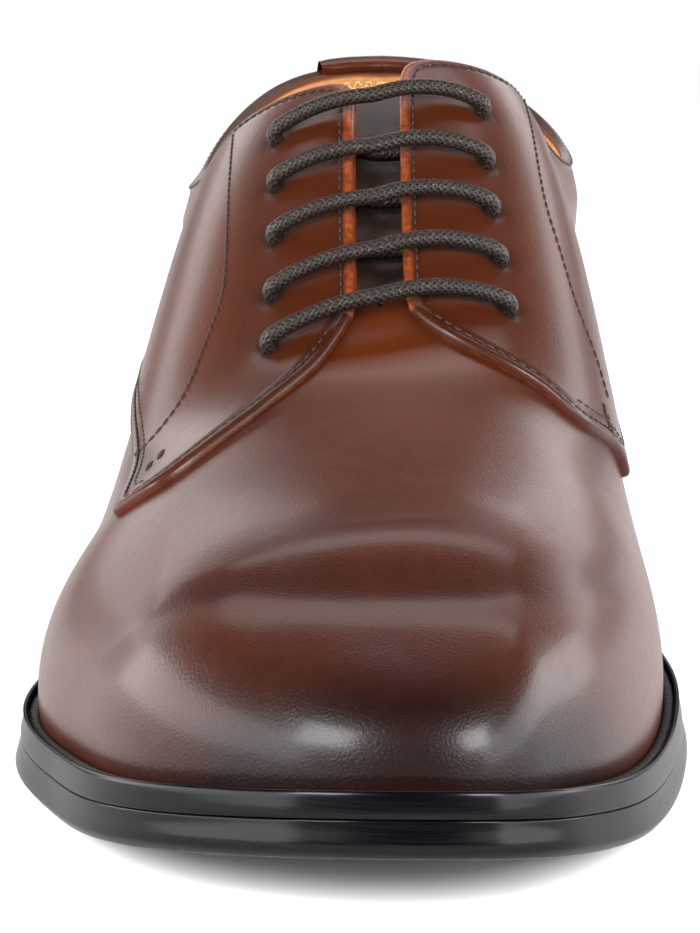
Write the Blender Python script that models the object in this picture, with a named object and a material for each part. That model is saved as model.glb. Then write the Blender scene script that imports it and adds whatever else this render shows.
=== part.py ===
# A right derby shoe, standing empty on its sole. Metres, +Z up, the toe towards -Y, the inner side of the foot at +X.
import bmesh
import bpy
import numpy as np
from mathutils import Vector
from mathutils.geometry import delaunay_2d_cdt

MM = 0.001

# The last
LAST_LENGTH = 287 * MM
BALL_WIDTH = 97 * MM
SEAT_WIDTH = 61 * MM
TOE_RADIUS = 33 * MM
SEAT_RADIUS = 27 * MM
TOE_SWING = 8 * MM
TOE_SPRING = 9.3 * MM
HEEL_HEIGHT = 23.5 * MM
INSTEP_HEIGHT = 106.5 * MM
BACK_HEIGHT = 96 * MM

# The upper
WALL = 2.0 * MM
QUARTER_STEP = 1.5 * MM
SLOT_WIDTH = 8.2 * MM
EYELET_WIDTH = 4.2 * MM
EYELET_SIDES = 10
TONGUE_WALL = 2.0 * MM

# The sole
OUTSOLE_WALL = 5.6 * MM
OUTSOLE_BEVEL = 1.2 * MM
WELT_HEIGHT = 3.9 * MM
WELT_ROUND = 0.9 * MM
CHANNEL_DEPTH = 1.6 * MM
WELT_REACH = 10.2 * MM
SEAT_REACH = 6.3 * MM
INSOLE_WALL = 3.0 * MM
TOP_PIECE = 6.0 * MM
HEEL_TAPER = 2.5 * MM
BREAST_HOLLOW = 4.0 * MM

# The laces
LACE_WIDTH = 2.9 * MM
LACE_LIFT = 0.55 * MM
LACE_BEND = 2.6 * MM
LACE_ARCH = 1.2 * MM
LACE_SIDES = 8

# Clearance between pieces, and the mesh's pace
GAP = 0.3 * MM
PACE = 8.0 * MM
FINE_PACE = 5.0 * MM
SOLE_STATIONS = 40
HEEL_STATIONS = 16
AROUND = 0.105
UP = 0.085

# Where the tread is flat, and where the heel breast and the toe's swing end, as shares of the last's length
FLAT_START = 0.24
FLAT_END = 0.38
SEAT_START = 0.80
BREAST = 0.745
SWING_END = 0.35
TOE_CURVE = 1.8

# Half widths of the featherline: share of length, then shares of half the ball width
FORE = (
    # share, lateral, medial
    (0.03, 0.490, 0.370),
    (0.08, 0.740, 0.575),
    (0.16, 0.913, 0.787),
    (0.26, 1.060, 0.935),
    (0.34, 1.035, 0.976),
    (0.45, 0.935, 0.900),
    (0.57, 0.783, 0.726),
)

# The same behind the arch, as shares of half the seat width
REAR = (
    # share, lateral, medial
    (0.70, 1.05, 0.85),
    (0.82, 1.00, 0.93),
    (0.92, 0.86, 0.86),
    (0.97, 0.60, 0.60),
)

# The line that the ribs of the last run up to
SPINE = (
    # foot of the rib, head of the rib, aside as a share of TOE_SWING, height as a share of INSTEP_HEIGHT
    (0.00, 0.110, 0.955, 0.404),
    (0.05, 0.127, 0.950, 0.426),
    (0.10, 0.150, 0.925, 0.447),
    (0.20, 0.222, 0.785, 0.485),
    (0.30, 0.308, 0.520, 0.541),
    (0.37, 0.373, 0.310, 0.612),
    (0.45, 0.448, 0.180, 0.771),
    (0.52, 0.513, 0.135, 0.908),
    (0.58, 0.568, 0.130, 0.994),
    (0.65, 0.632, 0.110, 1.054),
    (0.75, 0.720, 0.070, 1.123),
    (0.85, 0.800, 0.035, 1.166),
    (0.93, 0.855, 0.010, 1.182),
    (1.00, 0.885, 0.000, 1.186),
)

# How a rib leaves the featherline and meets the spine
RIB = (
    # foot, lateral lean, medial lean in degrees, foot reach, head reach, cant in degrees
    (0.00, 6, 6, 0.455, 0.445, 0),
    (0.10, 8, 8, 0.440, 0.455, 0),
    (0.25, 11, 8, 0.363, 0.482, 3),
    (0.37, 10, 7, 0.313, 0.427, 7),
    (0.50, 12, 14, 0.307, 0.384, 9.5),
    (0.58, 13, 18, 0.336, 0.380, 11),
    (0.68, 13.5, 21.5, 0.357, 0.396, 8),
    (0.78, 13.5, 21, 0.391, 0.451, 2.3),
    (0.88, 12, 17, 0.412, 0.482, 0.3),
    (1.00, 19, 19, 0.400, 0.280, 0),
)

# Height of the collar beside the lacing, as a share of INSTEP_HEIGHT
COLLAR_FRONT = (
    # share, lateral, medial
    (0.300, 1.014, 1.050),
    (0.500, 1.008, 1.037),
    (0.555, 0.981, 1.017),
    (0.600, 0.904, 0.983),
)

# Height of the collar behind it, as a share of BACK_HEIGHT
COLLAR_BACK = (
    # share, lateral, medial
    (0.650, 0.908, 1.025),
    (0.700, 0.869, 0.955),
    (0.760, 0.843, 0.900),
    (0.820, 0.832, 0.882),
    (0.880, 0.847, 0.905),
    (0.940, 0.935, 0.965),
    (0.985, 1.035, 1.035),
    (1.050, 1.065, 1.065),
)

# Front edge of the quarters, from the throat down to the tip: girth share up the rib, then the rib's foot
FRONT_EDGE = (
    # lateral girth, lateral foot, medial girth, medial foot
    (0.905, 0.356, 0.905, 0.369),
    (0.855, 0.334, 0.855, 0.360),
    (0.775, 0.309, 0.775, 0.355),
    (0.680, 0.286, 0.680, 0.357),
    (0.580, 0.275, 0.530, 0.373),
    (0.480, 0.281, 0.345, 0.421),
)
THROAT = 0.383
TIP_LEAD = 0.022

# Lower edge of the quarters, from the tip back to the heel: height as a share of INSTEP_HEIGHT
LOWER_EDGE = (
    # foot, lateral, medial
    (0.280, 0.371, 0.352),
    (0.330, 0.383, 0.354),
    (0.390, 0.412, 0.358),
    (0.460, 0.451, 0.374),
    (0.550, 0.478, 0.424),
    (0.700, 0.491, 0.481),
    (0.850, 0.491, 0.491),
    (1.000, 0.487, 0.487),
)

# The five pairs of eyelets, from the top down
EYELETS = (
    # lateral foot, lateral girth, medial foot, medial girth
    (0.532, 0.819, 0.535, 0.809),
    (0.490, 0.820, 0.494, 0.801),
    (0.451, 0.818, 0.461, 0.790),
    (0.413, 0.810, 0.430, 0.774),
    (0.375, 0.802, 0.400, 0.756),
)

# The tongue: foot of the rib, half its width as a girth share from the spine, how deep it lies as a share of its bed
TONGUE = (
    # foot, half width, depth
    (0.325, 0.20, 0.00),
    (0.345, 0.24, 0.50),
    (0.362, 0.27, 1.05),
    (0.410, 0.28, 1.05),
    (0.470, 0.28, 1.05),
    (0.530, 0.27, 1.05),
    (0.556, 0.24, 1.05),
    (0.570, 0.17, 1.05),
)

# Reach of the sole's edge outside the last: share of the way from SEAT_REACH to WELT_REACH
REACH = (
    # share, share of the way
    (-0.05, 1.00),
    (0.04, 0.84),
    (0.12, 0.42),
    (0.20, 0.14),
    (0.30, 0.05),
    (0.50, 0.03),
    (0.62, 0.00),
    (1.05, 0.00),
)

# Across the welt, from its outer foot over the rim and down into the stitch channel
WELT_SECTION = (
    # share of the way in, share of WELT_HEIGHT, less this share of WELT_ROUND and of CHANNEL_DEPTH
    (0.00, 0, 0.00, 0.00),
    (0.00, 1, 1.00, 0.00),
    (0.05, 1, 0.35, 0.00),
    (0.17, 1, 0.00, 0.00),
    (0.48, 1, 0.00, 0.00),
    (0.58, 1, 0.00, 0.17),
    (0.66, 1, 0.00, 1.00),
    (1.00, 1, 0.00, 1.00),
    (1.00, 0, 0.00, 0.00),
)

# The lace inside the shoe: how far from the eyelets it climbs, and how far past the last one it ends
LACE_ASIDE = 0.075
LACE_TAIL = 0.06

LATERAL = -1
MEDIAL = 1


# Curves through the tables

def angle_at(share):
    return np.arccos(np.clip(1 - 2 * np.asarray(share, float), -1, 1))


def share_at(angle):
    return (1 - np.cos(angle)) / 2


def same(place):
    return place


def curve(table, column, unit=1.0, key=same):
    """A smooth curve through one column of a table, level at both ends."""
    x = np.array([key(row[0]) for row in table], float)
    y = np.array([row[column] * unit for row in table], float)
    size = len(x)
    step = np.diff(x)
    rise = np.diff(y) / step
    system = np.zeros((size, size))
    right = np.zeros(size)
    for i in range(1, size - 1):
        system[i, i - 1:i + 2] = step[i - 1], 2 * (step[i - 1] + step[i]), step[i]
        right[i] = 6 * (rise[i] - rise[i - 1])
    system[0, :2] = 2 * step[0], step[0]
    right[0] = 6 * rise[0]
    system[-1, -2:] = step[-1], 2 * step[-1]
    right[-1] = -6 * rise[-1]
    bend = np.linalg.solve(system, right)

    def at(place):
        place = np.clip(place, x[0], x[-1])
        i = np.clip(np.searchsorted(x, place) - 1, 0, size - 2)
        after = place - x[i]
        before = x[i + 1] - place
        cubic = (bend[i] * before**3 + bend[i + 1] * after**3) / (6 * step[i])
        start = (y[i] / step[i] - bend[i] * step[i] / 6) * before
        end = (y[i + 1] / step[i] - bend[i + 1] * step[i] / 6) * after
        return cubic + start + end
    return at


def two_sides(table, lateral, medial, unit=1.0, key=same):
    """One curve for both sides: it is called with the place and the side, -1 or 1."""
    outer = curve(table, lateral, unit, key)
    inner = curve(table, medial, unit, key)

    def at(place, side):
        return np.where(np.asarray(side) < 0, outer(place), inner(place))
    return at


def fullness_rows():
    """The featherline's half width over the sine of its angle, which stays smooth round toe and seat."""
    toe = np.sqrt(TOE_RADIUS * LAST_LENGTH / 2)
    seat = np.sqrt(SEAT_RADIUS * LAST_LENGTH / 2)
    rows = [(0.0, toe, toe)]
    for table, width in ((FORE, BALL_WIDTH), (REAR, SEAT_WIDTH)):
        for share, lateral, medial in table:
            scale = width / 2 / np.sin(angle_at(share))
            rows.append((share, lateral * scale, medial * scale))
    rows.append((1.0, seat, seat))
    return rows


def collar_rows():
    """The collar's heights, whose front follows the instep and whose back follows the heel."""
    rows = []
    for table, height in ((COLLAR_FRONT, INSTEP_HEIGHT), (COLLAR_BACK, BACK_HEIGHT)):
        rows += [(share, lateral * height, medial * height) for share, lateral, medial in table]
    return rows


full_at = two_sides(fullness_rows(), 1, 2, 1.0, angle_at)
head_at = curve(SPINE, 1, 1.0, angle_at)
aside_at = curve(SPINE, 2, TOE_SWING, angle_at)
height_at = curve(SPINE, 3, INSTEP_HEIGHT, angle_at)
lean_at = two_sides(RIB, 1, 2, np.pi / 180, angle_at)
foot_reach_at = curve(RIB, 3, 1.0, angle_at)
head_reach_at = curve(RIB, 4, 1.0, angle_at)
cant_at = curve(RIB, 5, np.pi / 180, angle_at)
collar_at = two_sides(collar_rows(), 1, 2)
lower_edge_at = two_sides(LOWER_EDGE, 1, 2, INSTEP_HEIGHT)
reach_share_at = curve(REACH, 1)


# The last: the surface that the inside of the upper follows

def sole_stations():
    return np.linspace(0, np.pi, SOLE_STATIONS)


def share_of(flat):
    return flat[..., 1] / LAST_LENGTH + 0.5


def tread_height(share):
    """Height of the outsole's underside: toe spring, flat tread, arch and heel seat."""
    toe = np.clip((FLAT_START - share) / FLAT_START, 0, None)
    arch = np.clip((share - FLAT_END) / (SEAT_START - FLAT_END), 0, 1)
    return TOE_SPRING * toe**TOE_CURVE + HEEL_HEIGHT * arch**2 * (3 - 2 * arch)


def featherline(angle, side):
    share = share_at(angle)
    swing = TOE_SWING * np.clip(1 - share / SWING_END, 0, 1)**2
    x = swing + side * np.sin(angle) * full_at(angle, side)
    return np.stack([x, (share - 0.5) * LAST_LENGTH], -1)


def outward(angle, side):
    """The direction straight out of the featherline, level."""
    run = featherline(angle + 1e-4, side) - featherline(angle - 1e-4, side)
    across = np.stack([side * run[..., 1], -side * run[..., 0]], -1)
    return across / np.linalg.norm(across, axis=-1, keepdims=True)


def spine(angle):
    return np.stack([aside_at(angle), (head_at(angle) - 0.5) * LAST_LENGTH, height_at(angle)], -1)


def last_point(angle, side, girth):
    """A point of the last on the rib at this angle: girth 0 is the featherline and 1 the spine."""
    angle, side, girth = np.broadcast_arrays(np.asarray(angle, float), side, np.asarray(girth, float))
    seat = tread_height(share_at(angle)) + OUTSOLE_WALL + GAP
    foot = np.concatenate([featherline(angle, side), seat[..., None]], -1)
    top = spine(angle)
    chord = np.linalg.norm(top - foot, axis=-1)
    out = np.concatenate([outward(angle, side), np.zeros(chord.shape + (1,))], -1)
    up = np.array([0.0, 0.0, 1.0])
    lean = lean_at(angle, side)[..., None]
    middle = np.clip(np.abs(angle), 2e-3, np.pi - 2e-3)
    run = spine(middle + 1e-3) - spine(middle - 1e-3)
    climb = run[..., 2] / np.maximum(run[..., 1], 1e-9)
    tilt = climb * out[..., 1] + side * np.tan(cant_at(angle)) * np.abs(out[..., 0])
    inward = -out - up * tilt[..., None]
    low = foot + (foot_reach_at(angle) * chord)[..., None] * (np.sin(lean) * out + np.cos(lean) * up)
    high = top - (head_reach_at(angle) * chord)[..., None] * inward
    after = girth[..., None]
    before = 1 - after
    return foot * before**3 + 3 * low * after * before**2 + 3 * high * after**2 * before + top * after**3


def skin_point(angle, side, girth, lift):
    """A point this far outside the last, along the last's own normal."""
    angle, side, girth = np.broadcast_arrays(np.asarray(angle, float), side, np.asarray(girth, float))
    girth = np.clip(girth, 0.002, 0.998)
    along = last_point(angle + 2e-3, side, girth) - last_point(angle - 2e-3, side, girth)
    around = last_point(angle, side, girth + 2e-3) - last_point(angle, side, girth - 2e-3)
    normal = np.cross(along, around) * side[..., None]
    normal /= np.linalg.norm(normal, axis=-1, keepdims=True)
    return last_point(angle, side, girth) + normal * np.asarray(lift)[..., None]


def girth_where(above, angle):
    """The first girth share at which above() turns positive on each rib, or 1 where it stays negative."""
    found = np.ones(angle.shape)
    done = np.zeros(angle.shape, bool)
    previous = above(np.zeros(angle.shape))
    steps = np.linspace(0, 1, 61)
    for start, end in zip(steps[:-1], steps[1:]):
        now = above(np.full(angle.shape, end))
        crosses = (previous < 0) & (now >= 0) & ~done
        way = previous / np.where(previous == now, 1, previous - now)
        found = np.where(crosses, start + (end - start) * way, found)
        done |= crosses
        previous = now
    return found


def collar_girth(angle, side):
    def above(girth):
        point = last_point(angle, side, girth)
        return point[..., 2] - collar_at(point[..., 1] / LAST_LENGTH + 0.5, side)
    return girth_where(above, angle)


def girth_at_height(angle, side, height):
    def above(girth):
        return last_point(angle, side, girth)[..., 2] - height
    return girth_where(above, angle)


def girth_beside_spine(angle, side, width):
    """The girth share at this distance from the spine, along the rib."""
    girth = np.linspace(1, 0.5, 101)
    rib = last_point(np.asarray(angle)[..., None], np.asarray(side)[..., None], girth)
    run = np.linalg.norm(np.diff(rib, axis=-2), axis=-1)
    length = np.concatenate([np.zeros(run.shape[:-1] + (1,)), np.cumsum(run, -1)], -1)
    return np.array([np.interp(width, row, girth) for row in length.reshape(-1, len(girth))])


# Objects and their materials

def material(name, colour, roughness):
    made = bpy.data.materials.new(name)
    made.use_nodes = True
    shader = made.node_tree.nodes["Principled BSDF"]
    shader.inputs["Base Color"].default_value = (*colour, 1.0)
    shader.inputs["Roughness"].default_value = roughness
    shader.inputs["Metallic"].default_value = 0.0
    return made


def add_object(name, points, faces, surface):
    mesh = bpy.data.meshes.new(name)
    mesh.from_pydata([tuple(point) for point in points], [], [tuple(int(i) for i in face) for face in faces])
    mesh.materials.append(surface)
    made = bpy.data.objects.new(name, mesh)
    bpy.context.collection.objects.link(made)
    form = bmesh.new()
    form.from_mesh(mesh)
    bmesh.ops.remove_doubles(form, verts=form.verts, dist=1e-6)
    bmesh.ops.recalc_face_normals(form, faces=form.faces)
    if form.calc_volume(signed=True) < 0:
        bmesh.ops.reverse_faces(form, faces=form.faces)
    form.to_mesh(mesh)
    form.free()
    return made


def ring_faces(first, second, count):
    """Quads between two closed rings of this many points, starting at these indices."""
    return [(first + i, first + (i + 1) % count, second + (i + 1) % count, second + i) for i in range(count)]


# The upper: the last's skin cut out flat, then wrapped on and given its walls

def flat_place(angle, side, girth):
    return np.stack([side * np.asarray(angle) * AROUND, np.asarray(girth) * UP], -1)


def spread(start, end, pace):
    count = max(2, int(np.ceil(abs(end - start) / pace)) + 1)
    return np.linspace(start, end, count)


def front_edge(side):
    """Angles and girths of the quarter's front edge, from the slot's corner to the tip."""
    throat = angle_at(THROAT)
    corner = girth_beside_spine(np.array([throat]), np.array([side]), SLOT_WIDTH / 2)[0]
    column = 0 if side < 0 else 2
    rows = [(corner, THROAT)] + [row[column : column + 2] for row in FRONT_EDGE]
    way = np.arange(len(rows), dtype=float)
    fine = np.linspace(0, len(rows) - 1, 3 * (len(rows) - 1) + 1)
    girth = np.interp(fine, way, [row[0] for row in rows])
    foot = curve([(place, row[1]) for place, row in zip(way, rows)], 1)(fine)
    return angle_at(foot), girth


def lower_edge(side):
    """Angles and girths of the quarter's lower edge, from just behind the tip to the heel."""
    tip = FRONT_EDGE[-1][1 if side < 0 else 3]
    angle = spread(angle_at(tip + TIP_LEAD), np.pi, FINE_PACE / AROUND)
    height = lower_edge_at(share_at(angle), side)
    return angle, girth_at_height(angle, np.full(angle.shape, side), height)


def eyelet_places(side):
    column = 0 if side < 0 else 2
    return [(float(angle_at(row[column])), row[column + 1]) for row in EYELETS]


def eyelet_ring(angle, side, girth):
    """A round hole's edge on the last, in angle and girth."""
    step = 1e-3
    along = (last_point(angle + step, side, girth) - last_point(angle - step, side, girth)) / (2 * step)
    around = (last_point(angle, side, girth + step) - last_point(angle, side, girth - step)) / (2 * step)
    first = along / np.linalg.norm(along)
    second = around - first * (around @ first)
    second /= np.linalg.norm(second)
    grid = np.array([[along @ first, around @ first], [along @ second, around @ second]])
    turn = np.arange(EYELET_SIDES) * 2 * np.pi / EYELET_SIDES
    circle = EYELET_WIDTH / 2 * np.stack([np.cos(turn), np.sin(turn)])
    moved = np.linalg.solve(grid, circle)
    return angle + moved[0], girth + moved[1]


def boundary(side):
    """The edge of one side's skin from the toe round the featherline, heel, collar and slot to the crest."""
    bottom = sole_stations()
    parts = [(bottom, np.zeros(len(bottom)))]
    heel_tops = [girth_at_height(np.array([np.pi]), np.array([1]), lower_edge_at(1.0, 1))[0],
                 collar_girth(np.array([np.pi]), np.array([1]))[0]]
    for start, end in zip([0] + heel_tops[:1], heel_tops):
        rise = spread(start, end, PACE / UP)[1:]
        parts.append((np.full(len(rise), np.pi), rise))
    throat = angle_at(THROAT)
    fine = np.linspace(throat, np.pi, 800)
    sides = np.full(fine.shape, side)
    slot = girth_beside_spine(fine, sides, SLOT_WIDTH / 2)
    rim = collar_girth(fine, sides)
    corner = np.nonzero(rim < slot)[0][0]
    collar = spread(np.pi, fine[corner], FINE_PACE / AROUND)[1:]
    parts.append((collar, collar_girth(collar, np.full(collar.shape, side))))
    edge = spread(fine[corner], throat, PACE / AROUND)[1:]
    parts.append((edge, girth_beside_spine(edge, np.full(edge.shape, side), SLOT_WIDTH / 2)))
    parts.append((np.array([throat]), np.ones(1)))
    crest = spread(throat, 0, PACE / AROUND)[1:]
    parts.append((crest, np.ones(len(crest))))
    return np.concatenate([part[0] for part in parts]), np.concatenate([part[1] for part in parts])


def inside(points, polygon):
    """Which points lie in the polygon."""
    x, y = points[:, 0], points[:, 1]
    within = np.zeros(len(points), bool)
    for (ax, ay), (bx, by) in zip(polygon, np.roll(polygon, -1, axis=0)):
        crosses = (ay > y) != (by > y)
        rise = by - ay if by != ay else 1.0
        within ^= crosses & (x < (bx - ax) * (y - ay) / rise + ax)
    return within


def away_from(points, line, reach):
    """Which points lie at least this far from an open line."""
    kept = np.ones(len(points), bool)
    for start, end in zip(line[:-1], line[1:]):
        run = end - start
        way = np.clip(((points - start) @ run) / (run @ run + 1e-18), 0, 1)
        kept &= np.linalg.norm(points - start - way[:, None] * run, axis=1) >= reach
    return kept


class Sheet:
    """The skin laid flat: its outline, its seams and holes, and how each point wraps on to the last."""

    def __init__(self):
        self.points = []
        self.edges = []
        self.lines = []

    def add_line(self, flat, closed=False):
        first = len(self.points)
        self.points += [tuple(point) for point in flat]
        count = len(flat)
        self.edges += [(first + i, first + i + 1) for i in range(count - 1)]
        if closed:
            self.edges.append((first + count - 1, first))
        self.lines.append(np.vstack([flat, flat[:1]]) if closed else np.asarray(flat))

    def fill(self, outline, pace):
        low = outline.min(axis=0)
        high = outline.max(axis=0)
        rows = np.arange(low[1] + pace / 2, high[1], pace * 0.87)
        grid = [(x + pace / 2 * (row % 2), y) for row, y in enumerate(rows)
                for x in np.arange(low[0] + pace / 2, high[0], pace)]
        grid = np.array(grid)
        grid = grid[inside(grid, outline)]
        for line in self.lines:
            grid = grid[away_from(grid, line, pace * 0.45)]
        self.points += [tuple(point) for point in grid]

    def triangles(self):
        found = delaunay_2d_cdt([Vector(point) for point in self.points], self.edges, [], 0, 1e-7)
        return np.array([tuple(point) for point in found[0]]), np.array(found[2])


def lay_flat():
    """The flat skin's points and triangles, and which triangles belong to the quarters."""
    sheet = Sheet()
    loops = {}
    quarters = []
    holes = []
    for side in (LATERAL, MEDIAL):
        loops[side] = flat_place(boundary(side)[0], side, boundary(side)[1])
    outline = np.concatenate([loops[MEDIAL], loops[LATERAL][::-1][1:-1]])
    sheet.add_line(outline, closed=True)
    for side in (LATERAL, MEDIAL):
        angle, girth = front_edge(side)
        low_angle, low_girth = lower_edge(side)
        seam = flat_place(np.concatenate([angle, low_angle]), side, np.concatenate([girth, low_girth]))
        sheet.add_line(seam)
        above = np.array([(side * np.pi * AROUND, 1.5 * UP), (side * angle_at(THROAT) * AROUND, 1.5 * UP)])
        quarters.append(np.concatenate([seam, above]))
        for place, height in eyelet_places(side):
            ring_angle, ring_girth = eyelet_ring(place, side, height)
            hole = flat_place(ring_angle, side, ring_girth)
            sheet.add_line(hole, closed=True)
            holes.append(hole)
    sheet.fill(outline, PACE)
    points, triangles = sheet.triangles()
    middle = points[triangles].mean(axis=1)
    kept = inside(middle, outline)
    for hole in holes:
        kept &= ~inside(middle, hole)
    triangles = triangles[kept]
    middle = middle[kept]
    raised = np.zeros(len(triangles), bool)
    for quarter in quarters:
        raised |= inside(middle, quarter)
    return points, triangles, raised


def wrap(points):
    side = np.where(points[:, 0] < 0, LATERAL, MEDIAL)
    angle = np.minimum(np.abs(points[:, 0]) / AROUND, np.pi)
    return last_point(angle, side, np.clip(points[:, 1] / UP, 0, 1))


def skin_normals(points, triangles):
    corner = points[triangles]
    face = np.cross(corner[:, 1] - corner[:, 0], corner[:, 2] - corner[:, 0])
    total = np.zeros_like(points)
    for i in range(3):
        np.add.at(total, triangles[:, i], face)
    return total / np.linalg.norm(total, axis=1, keepdims=True)


def edge_owners(triangles):
    owners = {}
    for index, (a, b, c) in enumerate(triangles):
        for start, end in ((a, b), (b, c), (c, a)):
            owners.setdefault((min(start, end), max(start, end)), []).append((index, start, end))
    return owners


def make_upper(surface):
    flat, triangles, raised = lay_flat()
    wrapped = wrap(flat)
    _, first, index = np.unique(np.round(wrapped / 2e-6), axis=0, return_index=True, return_inverse=True)
    inner = wrapped[first]
    triangles = index.reshape(-1)[triangles]
    whole = (triangles[:, 0] != triangles[:, 1]) & (triangles[:, 1] != triangles[:, 2])
    whole &= triangles[:, 0] != triangles[:, 2]
    triangles, raised = triangles[whole], raised[whole]
    normal = skin_normals(inner, triangles)
    size = len(inner)
    points = np.concatenate([inner, inner + normal * WALL, inner + normal * (WALL + QUARTER_STEP)])
    foot = np.tile(flat[first, 1] < 1e-6, 3)
    points[foot, 2] = tread_height(share_of(points[foot])) + OUTSOLE_WALL + GAP
    layer = np.where(raised, 2 * size, size)
    faces = [tuple(face[::-1]) for face in triangles]
    faces += [tuple(face + shift) for face, shift in zip(triangles, layer)]
    on_seam = set()
    owners = edge_owners(triangles)
    for pair, found in owners.items():
        if len(found) == 2 and raised[found[0][0]] != raised[found[1][0]]:
            _, start, end = found[0] if raised[found[0][0]] else found[1]
            faces.append((start + size, end + size, end + 2 * size, start + 2 * size))
            on_seam.update((start, end))
    for pair, found in owners.items():
        if len(found) == 1:
            owner, start, end = found[0]
            wall = [start, end]
            if raised[owner]:
                wall += [end + size] if end in on_seam else []
                wall += [end + 2 * size, start + 2 * size]
                wall += [start + size] if start in on_seam else []
            else:
                wall += [end + size, start + size]
            faces.append(tuple(wall))
    return add_object("upper", points, faces, surface)


# The tongue and the laces

def tongue_bed():
    """How far under the facings the tongue lies, so that the inner run of the lace fits between them."""
    return GAP + LACE_WIDTH + 2 * LACE_LIFT


def make_tongue(surface):
    foot = np.array([row[0] for row in TONGUE])
    half_at = curve(TONGUE, 1)
    depth_at = curve(TONGUE, 2)
    along = spread(foot[0], foot[-1], FINE_PACE / LAST_LENGTH)
    across = np.linspace(-1, 1, 15)
    points = []
    for layer in (0, 1):
        for share in along:
            sink = GAP + (tongue_bed() - GAP) * depth_at(share) + layer * TONGUE_WALL
            side = np.where(across < 0, LATERAL, MEDIAL)
            girth = 1 - np.abs(across) * half_at(share)
            points.append(skin_point(np.full(across.shape, angle_at(share)), side, girth, np.full(across.shape, -sink)))
    rows, columns = len(along), len(across)
    points = np.concatenate(points)
    faces = []
    for layer in (0, 1):
        base = layer * rows * columns
        for i in range(rows - 1):
            for j in range(columns - 1):
                a = base + i * columns + j
                faces.append((a, a + 1, a + columns + 1, a + columns))
    rim = [j for j in range(columns)]
    rim += [i * columns + columns - 1 for i in range(1, rows)]
    rim += [(rows - 1) * columns + j for j in range(columns - 2, -1, -1)]
    rim += [i * columns for i in range(rows - 2, 0, -1)]
    for start, end in zip(rim, rim[1:] + rim[:1]):
        faces.append((start, end, end + rows * columns, start + rows * columns))
    return add_object("tongue", points, faces, surface)


def over_the_spine(start, end, lift, count):
    """Points between two eyelets, given as (angle, side, girth), at these distances outside the last."""
    way = np.linspace(0, 1, count)
    reach = np.where(way < 0.5, 1 - (1 - start[2]) * (1 - 2 * way), 1 - (1 - end[2]) * (2 * way - 1))
    side = np.where(way < 0.5, start[1], end[1])
    angle = start[0] + (end[0] - start[0]) * way
    return skin_point(angle, side, reach, lift(way))


def rounded(points, radius, steps):
    """A path with each corner turned into an arc, or into less of one where a leg is short."""
    path = [points[0]]
    for before, corner, after in zip(points[:-2], points[1:-1], points[2:]):
        back = before - corner
        ahead = after - corner
        length_back, length_ahead = np.linalg.norm(back), np.linalg.norm(ahead)
        back, ahead = back / length_back, ahead / length_ahead
        half = np.arccos(np.clip(back @ ahead, -1, 1)) / 2
        reach = min(radius / np.tan(half), 0.49 * length_back, 0.49 * length_ahead)
        if np.pi / 2 - half < 0.12:
            path.append(corner)
            continue
        centre = corner + (back + ahead) / np.linalg.norm(back + ahead) * reach / np.cos(half)
        start = corner + back * reach - centre
        end = corner + ahead * reach - centre
        turn = np.pi - 2 * half
        for step in range(steps + 1):
            share = step / steps
            path.append(centre + (np.sin(turn * (1 - share)) * start + np.sin(turn * share) * end) / np.sin(turn))
    path.append(points[-1])
    return np.array(path)


def tube(path, width, sides):
    """Points and faces of a closed tube along the path, its ends rounded off."""
    run = np.gradient(path, axis=0)
    run /= np.linalg.norm(run, axis=1, keepdims=True)
    frame = np.cross(run[0], [0.3, 0.2, 1.0])
    turn = np.arange(sides) * 2 * np.pi / sides
    points = []
    for centre, ahead in zip(path, run):
        frame = frame - ahead * (frame @ ahead)
        frame /= np.linalg.norm(frame)
        other = np.cross(ahead, frame)
        points += [centre + width / 2 * (np.cos(t) * frame + np.sin(t) * other) for t in turn]
    faces = []
    for i in range(len(path) - 1):
        faces += ring_faces(i * sides, (i + 1) * sides, sides)
    faces.append(tuple(range(sides)))
    faces.append(tuple(range((len(path) - 1) * sides, len(path) * sides)))
    return points, faces


def lace_route():
    """Corners of the whole lace: bars outside, crossings inside, and both ends inside at the top eyelets."""
    outside = WALL + QUARTER_STEP + LACE_WIDTH / 2 + LACE_LIFT
    within = -(LACE_WIDTH / 2 + LACE_LIFT)
    holes = {side: [(np.float64(place), side, girth) for place, girth in eyelet_places(side)]
             for side in (LATERAL, MEDIAL)}

    def bar(way):
        return outside + LACE_ARCH * np.sin(np.pi * way)

    def crossing(way):
        return np.full(way.shape, within)
    last = len(EYELETS) - 1
    beside = [(hole[0], LATERAL, hole[2] - LACE_ASIDE) for hole in holes[LATERAL]]
    points = [skin_point(*beside[0], within)]
    points += [skin_point(*place, within) for place in beside[1:]]
    for row in range(last, -1, -1):
        start, end = holes[LATERAL][row], holes[MEDIAL][row]
        points.append(skin_point(*start, within))
        points += list(over_the_spine(start, end, bar, 11))
        points.append(skin_point(*end, within))
        if row:
            inner = over_the_spine(end, holes[LATERAL][row - 1], crossing, 9)
            points += list(inner[1:-1])
    points.append(skin_point(holes[MEDIAL][0][0], MEDIAL, holes[MEDIAL][0][2] - LACE_TAIL, within))
    return np.array(points)


def make_laces(surface):
    points, faces = tube(rounded(lace_route(), LACE_BEND, 4), LACE_WIDTH, LACE_SIDES)
    return add_object("laces", points, faces, surface)


# The sole

def sole_edge(angle, side, inset=0.0):
    """A point of the sole's edge, level, this far inside the outline."""
    share = reach_share_at(share_at(angle))
    reach = SEAT_REACH + (WELT_REACH - SEAT_REACH) * share
    return featherline(angle, side) + outward(angle, side) * (reach - inset)[..., None]


def around_the_sole(count=SOLE_STATIONS):
    """Angles and sides of a closed walk: out along the inner side and back along the outer."""
    angle = np.linspace(0, np.pi, count)
    return np.concatenate([angle, angle[-2:0:-1]]), np.concatenate([np.ones(count), -np.ones(count - 2)])


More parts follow.
